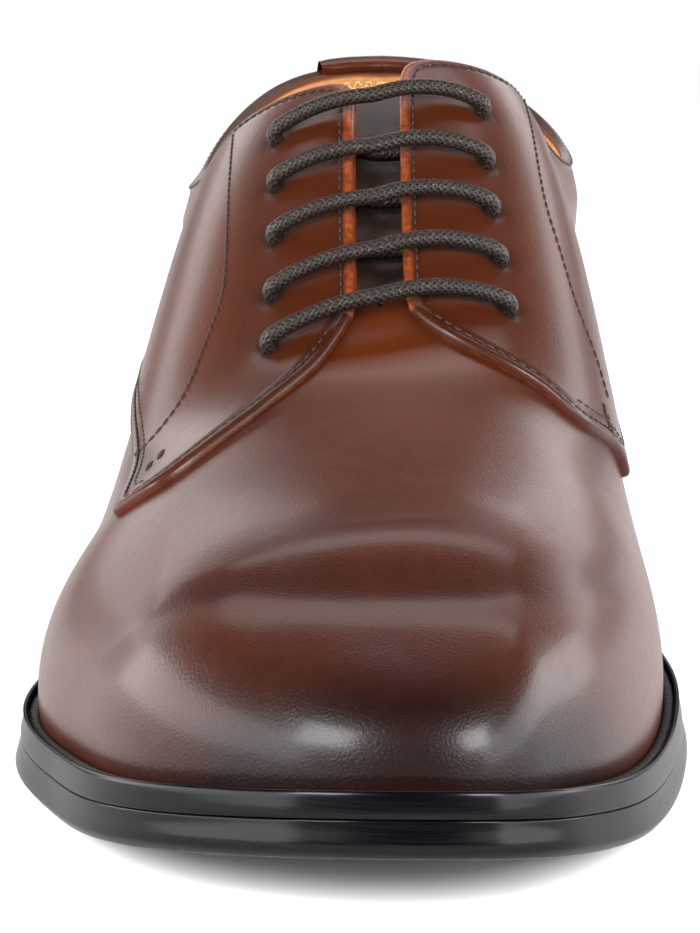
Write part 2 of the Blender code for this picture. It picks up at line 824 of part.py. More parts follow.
def lifted(flat, height):
    return np.concatenate([flat, np.broadcast_to(height, flat.shape[:-1])[..., None]], -1)


def ladder_faces(first, count):
    """Faces that fill a ring made by around_the_sole, rung by rung."""
    stations = count // 2 + 1
    left = [0] + [count - i for i in range(1, stations - 1)] + [stations - 1]
    faces = []
    for i in range(stations - 1):
        corners = [i, i + 1, left[i + 1], left[i]]
        faces.append(tuple(first + corner for corner in dict.fromkeys(corners)))
    return faces


def stacked(name, rings, surface):
    """A solid through closed rings of equal length, filled at both ends."""
    count = len(rings[0])
    faces = ladder_faces(0, count) + ladder_faces((len(rings) - 1) * count, count)
    for i in range(len(rings) - 1):
        faces += ring_faces(i * count, (i + 1) * count, count)
    return add_object(name, np.concatenate(rings), faces, surface)


def make_outsole(surface):
    angle, side = around_the_sole()
    edge = sole_edge(angle, side)
    under = sole_edge(angle, side, OUTSOLE_BEVEL)
    height = tread_height(share_of(edge))
    rings = [lifted(under, tread_height(share_of(under))),
             lifted(edge, height + OUTSOLE_BEVEL),
             lifted(edge, height + OUTSOLE_WALL)]
    return stacked("outsole", rings, surface)


def make_insole(surface):
    angle, side = around_the_sole()
    edge = featherline(angle, side) - outward(angle, side) * GAP
    floor = tread_height(share_of(edge)) + OUTSOLE_WALL + GAP
    return stacked("insole", [lifted(edge, floor), lifted(edge, floor + INSOLE_WALL)], surface)


def make_welt(surface):
    angle, side = around_the_sole()
    outer = sole_edge(angle, side)
    out = outward(angle, side)
    lean = lean_at(angle, side)
    rings = []
    for way, rise, rounding, hollow in WELT_SECTION:
        height = rise * WELT_HEIGHT - rounding * WELT_ROUND - hollow * CHANNEL_DEPTH
        wall = WALL / np.cos(lean) + height * np.tan(lean) + GAP
        reach = np.linalg.norm(outer - featherline(angle, side), axis=-1)
        flat = featherline(angle, side) + out * (reach + (wall - reach) * way)[..., None]
        rings.append(lifted(flat, tread_height(share_of(flat)) + OUTSOLE_WALL + GAP + height))
    count = len(angle)
    faces = []
    for i in range(len(rings)):
        faces += ring_faces(i * count, (i + 1) % len(rings) * count, count)
    return add_object("welt", np.concatenate(rings), faces, surface)


def heel_ring(level):
    """The heel's outline at this height, tapered towards the floor."""
    inset = HEEL_TAPER * (1 - level / HEEL_HEIGHT)
    angle = np.linspace(angle_at(BREAST), np.pi, HEEL_STATIONS)
    inner = sole_edge(angle, np.ones(HEEL_STATIONS), inset)
    outer = sole_edge(angle, -np.ones(HEEL_STATIONS), inset)
    edge = np.concatenate([inner, outer[-2::-1]])
    way = np.linspace(0, 1, HEEL_STATIONS // 2)[1:-1]
    breast = edge[-1] + (edge[0] - edge[-1]) * way[:, None]
    breast[:, 1] += BREAST_HOLLOW * np.sin(np.pi * way)
    return np.concatenate([edge, breast])


def heel_block(name, rings, surface):
    count = len(rings[0])
    faces = [tuple(range(count)), tuple(range(count, 2 * count))] + ring_faces(0, count, count)
    return add_object(name, np.concatenate(rings), faces, surface)


def make_heel(stack_surface, top_surface):
    rings = [lifted(heel_ring(level), level) for level in (0.0, TOP_PIECE, TOP_PIECE + GAP)]
    seat = heel_ring(HEEL_HEIGHT)
    rings.append(lifted(seat, tread_height(share_of(seat)) - GAP))
    heel_block("heel_top_piece", rings[:2], top_surface)
    heel_block("heel_stack", rings[2:], stack_surface)


# The whole shoe

def centre_on_origin():
    """Moves every piece so that the shoe's box stands on the origin."""
    shoe = [piece for piece in bpy.data.objects if piece.type == "MESH"]
    corners = np.array([vertex.co for piece in shoe for vertex in piece.data.vertices])
    middle = (corners.min(axis=0) + corners.max(axis=0)) / 2
    shift = Vector((-middle[0], -middle[1], -corners[:, 2].min()))
    for piece in shoe:
        piece.location = shift


def main():
    for old in list(bpy.data.objects):
        bpy.data.objects.remove(old, do_unlink=True)
    leather = material("brown_leather", (0.13, 0.035, 0.018), 0.32)
    tongue_leather = material("tongue_leather", (0.10, 0.05, 0.04), 0.5)
    lining = material("tan_lining", (0.45, 0.22, 0.07), 0.6)
    black_edge = material("black_edge", (0.012, 0.012, 0.013), 0.35)
    black_rubber = material("black_rubber", (0.015, 0.015, 0.015), 0.6)
    waxed_cord = material("waxed_cord", (0.035, 0.022, 0.018), 0.55)
    make_upper(leather)
    make_tongue(tongue_leather)
    make_insole(lining)
    make_welt(black_edge)
    make_outsole(black_edge)
    make_heel(black_edge, black_rubber)
    make_laces(waxed_cord)
    centre_on_origin()


if __name__ == "__main__":
    main()
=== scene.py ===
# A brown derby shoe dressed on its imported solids: calf upper, waxed laces, black welt and stacked heel.
import math
import bmesh
import bpy
import numpy as np
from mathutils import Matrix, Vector
from mathutils.kdtree import KDTree


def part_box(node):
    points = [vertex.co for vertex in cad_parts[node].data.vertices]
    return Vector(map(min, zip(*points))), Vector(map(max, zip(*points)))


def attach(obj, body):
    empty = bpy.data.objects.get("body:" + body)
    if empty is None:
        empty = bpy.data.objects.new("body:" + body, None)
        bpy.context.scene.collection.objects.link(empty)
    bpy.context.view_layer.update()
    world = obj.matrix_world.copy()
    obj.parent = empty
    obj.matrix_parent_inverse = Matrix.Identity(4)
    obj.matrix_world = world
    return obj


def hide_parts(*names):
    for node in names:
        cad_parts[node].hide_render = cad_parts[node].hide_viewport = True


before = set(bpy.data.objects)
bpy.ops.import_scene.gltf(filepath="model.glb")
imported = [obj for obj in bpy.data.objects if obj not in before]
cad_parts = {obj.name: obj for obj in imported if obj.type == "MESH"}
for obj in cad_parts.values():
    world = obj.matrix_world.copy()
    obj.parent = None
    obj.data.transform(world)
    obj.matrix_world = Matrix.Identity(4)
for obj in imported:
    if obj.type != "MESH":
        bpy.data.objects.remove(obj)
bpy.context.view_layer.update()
mm = 0.001
lateral, medial = -1, 1

# The last stands in its own place: x across, y from toe to heel, z up.
last = {
    "length": 287 * mm,
    "ballWidth": 97 * mm,
    "seatWidth": 61 * mm,
    "toeRadius": 33 * mm,
    "seatRadius": 27 * mm,
    "toeSwing": 8 * mm,
    "toeSpring": 9.3 * mm,
    "heelHeight": 23.5 * mm,
    "instep": 106.5 * mm,
    "back": 96 * mm,
    "outsole": 5.6 * mm,
    "gap": 0.3 * mm,
    "wall": 2.0 * mm,
    "quarterStep": 1.5 * mm,
    "slot": 8.2 * mm,
    # shares of the length, from the toe
    "flatStart": 0.24, "flatEnd": 0.38, "seatStart": 0.80, "breast": 0.745, "swingEnd": 0.35,
    "throat": 0.383, "tipLead": 0.022,
    "toeCurve": 1.8,
}
# share, lateral, medial: half widths of the featherline in shares of half the ball and seat widths
fore = ((0.03, 0.490, 0.370), (0.08, 0.740, 0.575), (0.16, 0.913, 0.787), (0.26, 1.060, 0.935),
        (0.34, 1.035, 0.976), (0.45, 0.935, 0.900), (0.57, 0.783, 0.726))
rear = ((0.70, 1.05, 0.85), (0.82, 1.00, 0.93), (0.92, 0.86, 0.86), (0.97, 0.60, 0.60))
# rib foot, rib head, aside in toe swings, height in insteps
spineRows = ((0.00, 0.110, 0.955, 0.404), (0.05, 0.127, 0.950, 0.426), (0.10, 0.150, 0.925, 0.447),
             (0.20, 0.222, 0.785, 0.485), (0.30, 0.308, 0.520, 0.541), (0.37, 0.373, 0.310, 0.612),
             (0.45, 0.448, 0.180, 0.771), (0.52, 0.513, 0.135, 0.908), (0.58, 0.568, 0.130, 0.994),
             (0.65, 0.632, 0.110, 1.054), (0.75, 0.720, 0.070, 1.123), (0.85, 0.800, 0.035, 1.166),
             (0.93, 0.855, 0.010, 1.182), (1.00, 0.885, 0.000, 1.186))
# rib foot, lateral and medial lean in degrees, foot reach, head reach, cant in degrees
ribRows = ((0.00, 6, 6, 0.455, 0.445, 0), (0.10, 8, 8, 0.440, 0.455, 0), (0.25, 11, 8, 0.363, 0.482, 3),
           (0.37, 10, 7, 0.313, 0.427, 7), (0.50, 12, 14, 0.307, 0.384, 9.5),
           (0.58, 13, 18, 0.336, 0.380, 11), (0.68, 13.5, 21.5, 0.357, 0.396, 8),
           (0.78, 13.5, 21, 0.391, 0.451, 2.3), (0.88, 12, 17, 0.412, 0.482, 0.3),
           (1.00, 19, 19, 0.400, 0.280, 0))
# share, lateral, medial: in insteps beside the lacing, in backs behind it
collarFront = ((0.300, 1.014, 1.050), (0.500, 1.008, 1.037), (0.555, 0.981, 1.017), (0.600, 0.904, 0.983))
collarBack = ((0.650, 0.908, 1.025), (0.700, 0.869, 0.955), (0.760, 0.843, 0.900), (0.820, 0.832, 0.882),
              (0.880, 0.847, 0.905), (0.940, 0.935, 0.965), (0.985, 1.035, 1.035), (1.050, 1.065, 1.065))
# lateral girth and foot, medial girth and foot
frontEdge = ((0.905, 0.356, 0.905, 0.369), (0.855, 0.334, 0.855, 0.360), (0.775, 0.309, 0.775, 0.355),
             (0.680, 0.286, 0.680, 0.357), (0.580, 0.275, 0.530, 0.373), (0.480, 0.281, 0.345, 0.421))
# foot, lateral, medial height in insteps
lowerEdge = ((0.280, 0.371, 0.352), (0.330, 0.383, 0.354), (0.390, 0.412, 0.358), (0.460, 0.451, 0.374),
             (0.550, 0.478, 0.424), (0.700, 0.491, 0.481), (0.850, 0.491, 0.491), (1.000, 0.487, 0.487))
# lateral foot and girth, medial foot and girth, from the top pair down
eyelets = ((0.532, 0.819, 0.535, 0.809), (0.490, 0.820, 0.494, 0.801), (0.451, 0.818, 0.461, 0.790),
           (0.413, 0.810, 0.430, 0.774), (0.375, 0.802, 0.400, 0.756))


def angleAt(share):
    return np.arccos(np.clip(1 - 2 * np.asarray(share, float), -1, 1))


def shareAt(angle):
    return (1 - np.cos(angle)) / 2


def same(value):
    return value


def curve(rows, column, unit=1.0, key=same):  # a smooth curve through one column, level at both ends
    x = np.array([key(row[0]) for row in rows], float)
    y = np.array([row[column] * unit for row in rows], float)
    size = len(x)
    step = np.diff(x)
    rise = np.diff(y) / step
    system = np.zeros((size, size))
    right = np.zeros(size)
    for i in range(1, size - 1):
        system[i, i - 1:i + 2] = step[i - 1], 2 * (step[i - 1] + step[i]), step[i]
        right[i] = 6 * (rise[i] - rise[i - 1])
    system[0, :2] = 2 * step[0], step[0]
    right[0] = 6 * rise[0]
    system[-1, -2:] = step[-1], 2 * step[-1]
    right[-1] = -6 * rise[-1]
    bend = np.linalg.solve(system, right)

    def at(place):
        place = np.clip(place, x[0], x[-1])
        i = np.clip(np.searchsorted(x, place) - 1, 0, size - 2)
        after = place - x[i]
        before = x[i + 1] - place
        cubic = (bend[i] * before**3 + bend[i + 1] * after**3) / (6 * step[i])
        leftPull = y[i] / step[i] - bend[i] * step[i] / 6
        rightPull = y[i + 1] / step[i] - bend[i + 1] * step[i] / 6
        return cubic + leftPull * before + rightPull * after
    return at


def twoSides(rows, outerColumn, innerColumn, unit=1.0, key=same):
    outer = curve(rows, outerColumn, unit, key)
    inner = curve(rows, innerColumn, unit, key)

    def at(place, side):
        return np.where(np.asarray(side) < 0, outer(place), inner(place))
    return at


def fullnessRows():
    toe = math.sqrt(last["toeRadius"] * last["length"] / 2)
    seat = math.sqrt(last["seatRadius"] * last["length"] / 2)
    rows = [(0.0, toe, toe)]
    for table, width in ((fore, last["ballWidth"]), (rear, last["seatWidth"])):
        for share, a, b in table:
            full = np.sin(angleAt(share))
            rows.append((share, a * width / 2 / full, b * width / 2 / full))
    return rows + [(1.0, seat, seat)]


def collarRows():
    rows = [(share, a * last["instep"], b * last["instep"]) for share, a, b in collarFront]
    return rows + [(share, a * last["back"], b * last["back"]) for share, a, b in collarBack]


fullAt = twoSides(fullnessRows(), 1, 2, 1.0, angleAt)
headAt = curve(spineRows, 1, 1.0, angleAt)
asideAt = curve(spineRows, 2, last["toeSwing"], angleAt)
heightAt = curve(spineRows, 3, last["instep"], angleAt)
leanAt = twoSides(ribRows, 1, 2, np.pi / 180, angleAt)
footReachAt = curve(ribRows, 3, 1.0, angleAt)
headReachAt = curve(ribRows, 4, 1.0, angleAt)
cantAt = curve(ribRows, 5, np.pi / 180, angleAt)
collarAt = twoSides(collarRows(), 1, 2)
lowerEdgeAt = twoSides(lowerEdge, 1, 2, last["instep"])


def treadHeight(share):
    toe = np.clip((last["flatStart"] - share) / last["flatStart"], 0, None)
    arch = np.clip((share - last["flatEnd"]) / (last["seatStart"] - last["flatEnd"]), 0, 1)
    return last["toeSpring"] * toe**last["toeCurve"] + last["heelHeight"] * arch**2 * (3 - 2 * arch)


def shareOf(flat):
    return flat[..., 1] / last["length"] + 0.5


def featherline(angle, side):
    share = shareAt(angle)
    swing = last["toeSwing"] * np.clip(1 - share / last["swingEnd"], 0, 1)**2
    across = swing + side * np.sin(angle) * fullAt(np.abs(angle), side)
    return np.stack([across, (share - 0.5) * last["length"]], -1)


def outward(angle, side):
    run = featherline(angle + 1e-4, side) - featherline(angle - 1e-4, side)
    across = np.stack([side * run[..., 1], -side * run[..., 0]], -1)
    return across / np.linalg.norm(across, axis=-1, keepdims=True)


def spine(angle):
    return np.stack([asideAt(angle), (headAt(angle) - 0.5) * last["length"], heightAt(angle)], -1)


def lastPoint(angle, side, girth):  # girth is 0 at the featherline and 1 on the spine
    angle, side, girth = np.broadcast_arrays(np.asarray(angle, float), side, np.asarray(girth, float))
    seat = treadHeight(shareAt(angle)) + last["outsole"] + last["gap"]
    foot = np.concatenate([featherline(angle, side), seat[..., None]], -1)
    middle = np.clip(np.abs(angle), 2e-3, np.pi - 2e-3)
    top = spine(middle)
    chord = np.linalg.norm(top - foot, axis=-1)
    out = np.concatenate([outward(angle, side), np.zeros(chord.shape + (1,))], -1)
    up = np.array([0.0, 0.0, 1.0])
    lean = leanAt(middle, side)[..., None]
    run = spine(middle + 1e-3) - spine(middle - 1e-3)
    climb = run[..., 2] / np.maximum(run[..., 1], 1e-9)
    tilt = climb * out[..., 1] + side * np.tan(cantAt(middle)) * np.abs(out[..., 0])
    inward = -out - up * tilt[..., None]
    low = foot + (footReachAt(middle) * chord)[..., None] * (np.sin(lean) * out + np.cos(lean) * up)
    high = top - (headReachAt(middle) * chord)[..., None] * inward
    after = girth[..., None]
    before = 1 - after
    return foot * before**3 + 3 * low * after * before**2 + 3 * high * after**2 * before + top * after**3


def slopes(angle, side, girth):  # how a point of the last moves with its angle and with its girth
    girth = np.clip(girth, 0.003, 0.997)
    along = (lastPoint(angle + 2e-3, side, girth) - lastPoint(angle - 2e-3, side, girth)) / 4e-3
    around = (lastPoint(angle, side, girth + 2e-3) - lastPoint(angle, side, girth - 2e-3)) / 4e-3
    return along, around


def skin(angle, side, girth, lift):  # the same point, lifted off the last
    angle, side, girth = np.broadcast_arrays(np.asarray(angle, float), side, np.asarray(girth, float))
    along, around = slopes(angle, side, girth)
    normal = np.cross(along, around) * side[..., None]
    normal /= np.maximum(np.linalg.norm(normal, axis=-1, keepdims=True), 1e-12)
    return lastPoint(angle, side, girth) + normal * np.broadcast_to(lift, angle.shape)[..., None]


def girthWhere(above, angle):  # the first girth at which above() turns positive
    found = np.ones(angle.shape)
    done = np.zeros(angle.shape, bool)
    previous = above(np.zeros(angle.shape))
    steps = np.linspace(0, 1, 121)
    for start, end in zip(steps[:-1], steps[1:]):
        now = above(np.full(angle.shape, end))
        crosses = (previous < 0) & (now >= 0) & ~done
        drop = np.where(previous == now, 1, previous - now)
        found = np.where(crosses, start + (end - start) * previous / drop, found)
        done |= crosses
        previous = now
    return found


def collarGirth(angle, side):
    def above(girth):
        point = lastPoint(angle, side, girth)
        return point[..., 2] - collarAt(shareOf(point), side)
    return girthWhere(above, angle)


def girthAtHeight(angle, side, height):
    return girthWhere(lambda girth: lastPoint(angle, side, girth)[..., 2] - height, angle)


def girthBesideSpine(angle, side, width):
    girth = np.linspace(1, 0.5, 101)
    rib = lastPoint(angle[..., None], np.asarray(side)[..., None], girth)
    run = np.linalg.norm(np.diff(rib, axis=-2), axis=-1)
    length = np.concatenate([np.zeros(run.shape[:-1] + (1,)), np.cumsum(run, -1)], -1)
    return np.array([np.interp(width, row, girth) for row in length])


sole = {
    "seatReach": 6.3 * mm,
    "toeReach": 10.2 * mm,
    # share, share of the way from the seat's reach to the toe's
    "reachRows": ((-0.05, 1.00), (0.04, 0.84), (0.12, 0.42), (0.20, 0.14), (0.30, 0.05), (0.50, 0.03),
                  (0.62, 0.00), (1.05, 0.00)),
}
reachShareAt = curve(sole["reachRows"], 1)


def soleEdge(angle, side, inset=0.0):
    reach = sole["seatReach"] + (sole["toeReach"] - sole["seatReach"]) * reachShareAt(shareAt(angle))
    return featherline(angle, side) + outward(angle, side) * (reach - inset)[..., None]


def walkRound(count):  # angles and sides of a closed walk: out along the inner side, back along the outer
    angle = np.linspace(0, np.pi, count)
    sides = np.concatenate([np.ones(count), -np.ones(count - 2)])
    return np.concatenate([angle, angle[-2:0:-1]]), sides


def lifted(flat, height):
    return np.concatenate([flat, np.broadcast_to(height, flat.shape[:-1])[..., None]], -1)


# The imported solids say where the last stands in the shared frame.
coarseEdge = soleEdge(*walkRound(40))
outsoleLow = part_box("outsole")[0]
shift = np.array([outsoleLow.x - coarseEdge[:, 0].min(), outsoleLow.y - coarseEdge[:, 1].min(), 0.0])
print("the last stands at", np.round(shift * 1000, 2), "mm")


# Small helpers for meshes.
def softStep(low, high, value):
    way = np.clip((np.asarray(value, float) - low) / (high - low), 0, 1)
    return way * way * (3 - 2 * way)


def grid(rows, columns, closed=False, first=0):
    i, j = np.meshgrid(np.arange(rows - 1), np.arange(columns if closed else columns - 1), indexing="ij")
    near, far = i * columns, (i + 1) * columns
    nextJ = (j + 1) % columns
    return np.stack([near + j, near + nextJ, far + nextJ, far + j], -1).reshape(-1, 4) + first


def newPiece(name, points, faces, material, marks=None, uv=None, merge=2e-5, facingFrom=None, turn=False):
    mesh = bpy.data.meshes.new(name)
    corners = [tuple(int(i) for i in face) for face in faces]
    mesh.from_pydata([tuple(p) for p in np.asarray(points) + shift], [], corners)
    for key, values in (marks or {}).items():
        mark = mesh.attributes.new(key, "FLOAT", "POINT")
        mark.data.foreach_set("value", np.asarray(values, np.float32))
    if uv is not None:
        layer = mesh.uv_layers.new(name="UVMap")
        order = np.array([loop.vertex_index for loop in mesh.loops])
        layer.data.foreach_set("uv", np.asarray(uv, np.float32)[order].ravel())
    form = bmesh.new()
    form.from_mesh(mesh)
    if merge:
        bmesh.ops.remove_doubles(form, verts=form.verts, dist=merge)
    bad = [face for face in form.faces if face.calc_area() < 1e-12]
    bmesh.ops.delete(form, geom=bad, context="FACES_ONLY")
    bmesh.ops.recalc_face_normals(form, faces=form.faces)
    if facingFrom is not None:  # an open sheet faces away from this point
        middle = Vector(facingFrom)
        flow = 0
        for face in form.faces:
            flow += (face.calc_center_median() - middle).dot(face.normal) * face.calc_area()
        turn = turn != (flow < 0)
    elif form.calc_volume(signed=True) < 0:
        turn = not turn
    if turn:
        bmesh.ops.reverse_faces(form, faces=form.faces)
    form.to_mesh(mesh)
    form.free()
    mesh.materials.append(material)
    mesh.polygons.foreach_set("use_smooth", [True] * len(mesh.polygons))
    piece = bpy.data.objects.new(name, mesh)
    bpy.context.scene.collection.objects.link(piece)
    return piece


# Materials.
class Wire:  # a socket that takes part in sums
    def __init__(self, tree, socket):
        self.tree = tree
        self.socket = socket

    def sum(self, operation, *others, swap=False):
        values = [self, *others]
        if swap:
            values.reverse()
        node = self.tree.nodes.new("ShaderNodeMath")
        node.operation = operation
        for place, value in zip(node.inputs, values):
            if isinstance(value, Wire):
                self.tree.links.new(value.socket, place)
            else:
                place.default_value = value
        return Wire(self.tree, node.outputs[0])

    def __add__(self, other):
        return self.sum("ADD", other)

    def __radd__(self, other):
        return self.sum("ADD", other)

    def __sub__(self, other):
        return self.sum("SUBTRACT", other)

    def __rsub__(self, other):
        return self.sum("SUBTRACT", other, swap=True)

    def __mul__(self, other):
        return self.sum("MULTIPLY", other)

    def __rmul__(self, other):
        return self.sum("MULTIPLY", other)

    def most(self, other):
        return self.sum("MAXIMUM", other)

    def least(self, other):
        return self.sum("MINIMUM", other)

    def sine(self):
        return self.sum("SINE")

    def between(self, low, high):  # a soft step from low to high
        node = self.tree.nodes.new("ShaderNodeMapRange")
        node.interpolation_type = "SMOOTHSTEP"
        self.tree.links.new(self.socket, node.inputs[0])
        node.inputs[1].default_value = low
        node.inputs[2].default_value = high
        return Wire(self.tree, node.outputs[0])


class Finish:  # one material while it is being built
    def __init__(self, name, base, **constants):
        self.material = bpy.data.materials.new(name)
        self.material.use_nodes = True
        self.tree = self.material.node_tree
        self.shader = self.tree.nodes["Principled BSDF"]
        self.shader.inputs["Base Color"].default_value = (*base, 1)
        for key, value in constants.items():
            self.shader.inputs[key].default_value = value

    def node(self, kind, settings=None, inputs=None, output=0):
        node = self.tree.nodes.new(kind)
        for key, value in (settings or {}).items():
            setattr(node, key, value)
        for key, value in (inputs or {}).items():
            if isinstance(value, Wire):
                self.tree.links.new(value.socket, node.inputs[key])
            else:
                node.inputs[key].default_value = value
        return Wire(self.tree, node.outputs[output])

    def place(self):
        return self.node("ShaderNodeTexCoord", output="Object")

    def mark(self, name):
        return self.node("ShaderNodeAttribute", {"attribute_name": name}, output="Fac")

    def noise(self, vector, scale, detail=3.0, rough=0.55):
        values = {"Vector": vector, "Scale": scale, "Detail": detail, "Roughness": rough}
        return self.node("ShaderNodeTexNoise", inputs=values)

    def streaks(self, vector, scale, detail, rough):
        drawn = self.node("ShaderNodeMapping", inputs={"Vector": vector, "Scale": scale})
        return self.noise(drawn, 1.0, detail, rough)

    def cells(self, vector, scale, feature="F1"):
        return self.node("ShaderNodeTexVoronoi", {"feature": feature}, {"Vector": vector, "Scale": scale})

    def blend(self, factor, first, second):
        node = self.tree.nodes.new("ShaderNodeMix")
        node.data_type = "RGBA"
        for place, value in ((node.inputs[0], factor), (node.inputs[6], first), (node.inputs[7], second)):
            if isinstance(value, Wire):
                self.tree.links.new(value.socket, place)
            else:
                place.default_value = (*value, 1)
        return Wire(self.tree, node.outputs[2])

    def set(self, key, wire):
        self.tree.links.new(wire.socket, self.shader.inputs[key])

    def bump(self, height, distance, strength=1.0):
        node = self.tree.nodes.new("ShaderNodeBump")
        node.inputs["Distance"].default_value = distance
        node.inputs["Strength"].default_value = strength
        self.tree.links.new(height.socket, node.inputs["Height"])
        self.tree.links.new(node.outputs[0], self.shader.inputs["Normal"])


calf = {
    # dark is the colour of burnish and of painted shade; hole is the near black of painted shade in a punched
    # hole
    "light": (0.050, 0.0105, 0.0040), "body": (0.029, 0.0056, 0.0022), "dark": (0.0060, 0.0013, 0.0008),
    "warm": (0.056, 0.0105, 0.0012), "hole": (0.004, 0.002, 0.0015),
    "edge": (0.17, 0.036, 0.008), "edgeDark": (0.070, 0.014, 0.004),
    "roughness": 0.38, "specular": 0.13, "coat": 0.13, "coatRoughness": 0.19,
    "pore": 0.75 * mm, "grainDepth": 0.05 * mm,
}


def makeCalf():
    # marks: the burnish-and-shade mark darkens, partly with real burnish and partly with painted shade and
    # painted dark reflection; warm reddens; edge is the cut side; hole is painted shade for the inside of a
    # punched hole, which the mesh leaves closed, and also darkens the collar's cut edge
    gloss = {"Coat Roughness": calf["coatRoughness"], "Coat IOR": 1.5, "Specular IOR Level": calf["specular"]}
    f = Finish("burnishedCalf", calf["body"], **gloss)
    place = f.place()
    cloud = f.noise(place, 26, 4, 0.6)
    mist = f.noise(place, 9, 2, 0.5)
    fine = f.noise(place, 420, 3, 0.6)
    pores = f.cells(place, 1 / calf["pore"], "DISTANCE_TO_EDGE")
    patches = (cloud * 0.55 + mist * 0.25 + fine * 0.2).between(0.34, 0.66)
    colour = f.blend(patches, calf["body"], calf["light"])
    colour = f.blend(f.mark("warm") * (0.7 + 0.5 * cloud), colour, calf["warm"])
    # burnish and painted shade, with painted dark reflection on the toe, blend towards the dark colour
    shade = (f.mark("burnishAndShade") * (0.8 + 0.4 * cloud)).least(1.0)
    colour = f.blend(shade, colour, calf["dark"])
    cut = f.blend(f.noise(place, 700, 3, 0.7).between(0.35, 0.7), calf["edge"], calf["edgeDark"])
    colour = f.blend(f.mark("edge"), colour, cut)
    # painted shade: the inside of each eyelet hole goes near black; the same mark darkens the collar's cut
    # edge
    colour = f.blend(f.mark("hole"), colour, calf["hole"])
    f.set("Base Color", colour)
    uneven = 0.12 * (fine - 0.5) + 0.10 * (cloud - 0.5) + 0.3 * f.mark("hole")
    f.set("Roughness", calf["roughness"] + uneven)
    f.set("Coat Weight", (calf["coat"] - 0.1 * f.mark("hole")).most(0.0))
    grain = pores.between(0.0, 0.4) * 0.7 + fine * 0.6 + f.noise(place, 1500, 2) * 0.25
    f.bump(grain, calf["grainDepth"], 0.6)
    return f.material


liningLook = {"base": (0.40, 0.20, 0.06), "dark": (0.30, 0.125, 0.035), "light": (0.52, 0.26, 0.085),
              "binding": (0.085, 0.026, 0.012), "roughness": 0.62, "napDepth": 0.04 * mm}


def makeLining():
    f = Finish("tanLining", liningLook["base"], **{"Specular IOR Level": 0.35})
    place = f.place()
    cloud = f.noise(place, 40, 4, 0.6)
    fine = f.noise(place, 900, 3, 0.7)
    patches = (cloud * 0.6 + fine * 0.4).between(0.3, 0.7)
    colour = f.blend(patches, liningLook["dark"], liningLook["light"])
    f.set("Base Color", f.blend(f.mark("binding"), colour, liningLook["binding"]))
    f.set("Roughness", liningLook["roughness"] + 0.15 * (fine - 0.5) - 0.15 * f.mark("binding"))
    f.bump(fine + 0.6 * f.cells(place, 1400).between(0, 0.6), liningLook["napDepth"], 0.5)
    return f.material


tongueLook = {"base": (0.05, 0.026, 0.021), "dark": (0.030, 0.0145, 0.011), "light": (0.065, 0.036, 0.029),
              "roughness": 0.5, "poreDepth": 0.05 * mm}


def makeTongueLeather():
    f = Finish("tongueLeather", tongueLook["base"], **{"Specular IOR Level": 0.3})
    place = f.place()
    cloud = f.noise(place, 60, 4, 0.6)
    pores = f.cells(place, 1100, "DISTANCE_TO_EDGE")
    f.set("Base Color", f.blend(cloud.between(0.3, 0.7), tongueLook["dark"], tongueLook["light"]))
    f.set("Roughness", tongueLook["roughness"] + 0.15 * (cloud - 0.5))
    f.bump(pores.between(0.0, 0.3), tongueLook["poreDepth"], 0.6)
    return f.material


# gap is painted shade between the braid's strands; speck is a painted sheen on the strand tops
cordLook = {"base": (0.014, 0.008, 0.006), "gap": (0.0015, 0.0009, 0.0006), "strand": (0.011, 0.0055, 0.0036),
            "sheenSpeck": (0.075, 0.052, 0.040), "strands": 8, "crossings": 4, "roughness": 0.52,
            "depth": 0.11 * mm}


def makeWaxedCord():
    # u runs round the cord and v along it, in turns of the braid
    f = Finish("waxedCord", cordLook["base"], **{"Specular IOR Level": 0.22})
    uv = f.node("ShaderNodeUVMap", {"uv_map": "UVMap"})
    around = f.node("ShaderNodeSeparateXYZ", inputs={0: uv}) * cordLook["strands"]
    along = f.node("ShaderNodeSeparateXYZ", inputs={0: uv}, output=1) * cordLook["crossings"]
    left = ((around + along) * (2 * math.pi)).sine() * 0.5 + 0.5
    right = ((around - along) * (2 * math.pi)).sine() * 0.5 + 0.5
    weave = left.most(right)
    # light specks on the strand tops: painted sheen
    sheenSpeck = f.noise(f.place(), 2100, 2, 0.6).between(0.48, 0.66)
    # painted shade in the gaps between strands
    colour = f.blend(weave.between(0.45, 1.0), cordLook["gap"], cordLook["strand"])
    f.set("Base Color", f.blend(sheenSpeck * weave.between(0.6, 1.0) * 0.5, colour, cordLook["sheenSpeck"]))
    f.set("Roughness", cordLook["roughness"] - 0.18 * sheenSpeck)
    f.bump(weave + 0.4 * f.noise(f.place(), 3000, 2), cordLook["depth"], 0.9)
    return f.material


inkLook = {"base": (0.004, 0.004, 0.005), "dark": (0.0006, 0.0006, 0.0009),
           "light": (0.0022, 0.0024, 0.0032), "roughness": 0.26, "coat": 0.20, "coatRoughness": 0.19,
           "depth": 0.02 * mm}


def makeEdgeInk():
    gloss = {"Coat Roughness": inkLook["coatRoughness"], "Coat IOR": 1.5, "Specular IOR Level": 0.02}
    f = Finish("blackEdge", inkLook["base"], **gloss)
    place = f.place()
    layers = f.streaks(place, (60, 60, 2600), 3, 0.6)
    streak = f.streaks(place, (900, 900, 35), 2, 0.5)
    scuff = f.noise(place, 420, 4, 0.65).between(0.62, 0.80)
    f.set("Base Color", f.blend(layers.between(0.35, 0.7), inkLook["dark"], inkLook["light"]))
    f.set("Roughness", inkLook["roughness"] + 0.10 * layers + 0.2 * scuff)
    f.set("Coat Weight", inkLook["coat"] - 0.10 * scuff)
    f.bump(layers * 0.8 + streak * 0.35 + 0.4 * scuff, inkLook["depth"], 0.6)
    return f.material


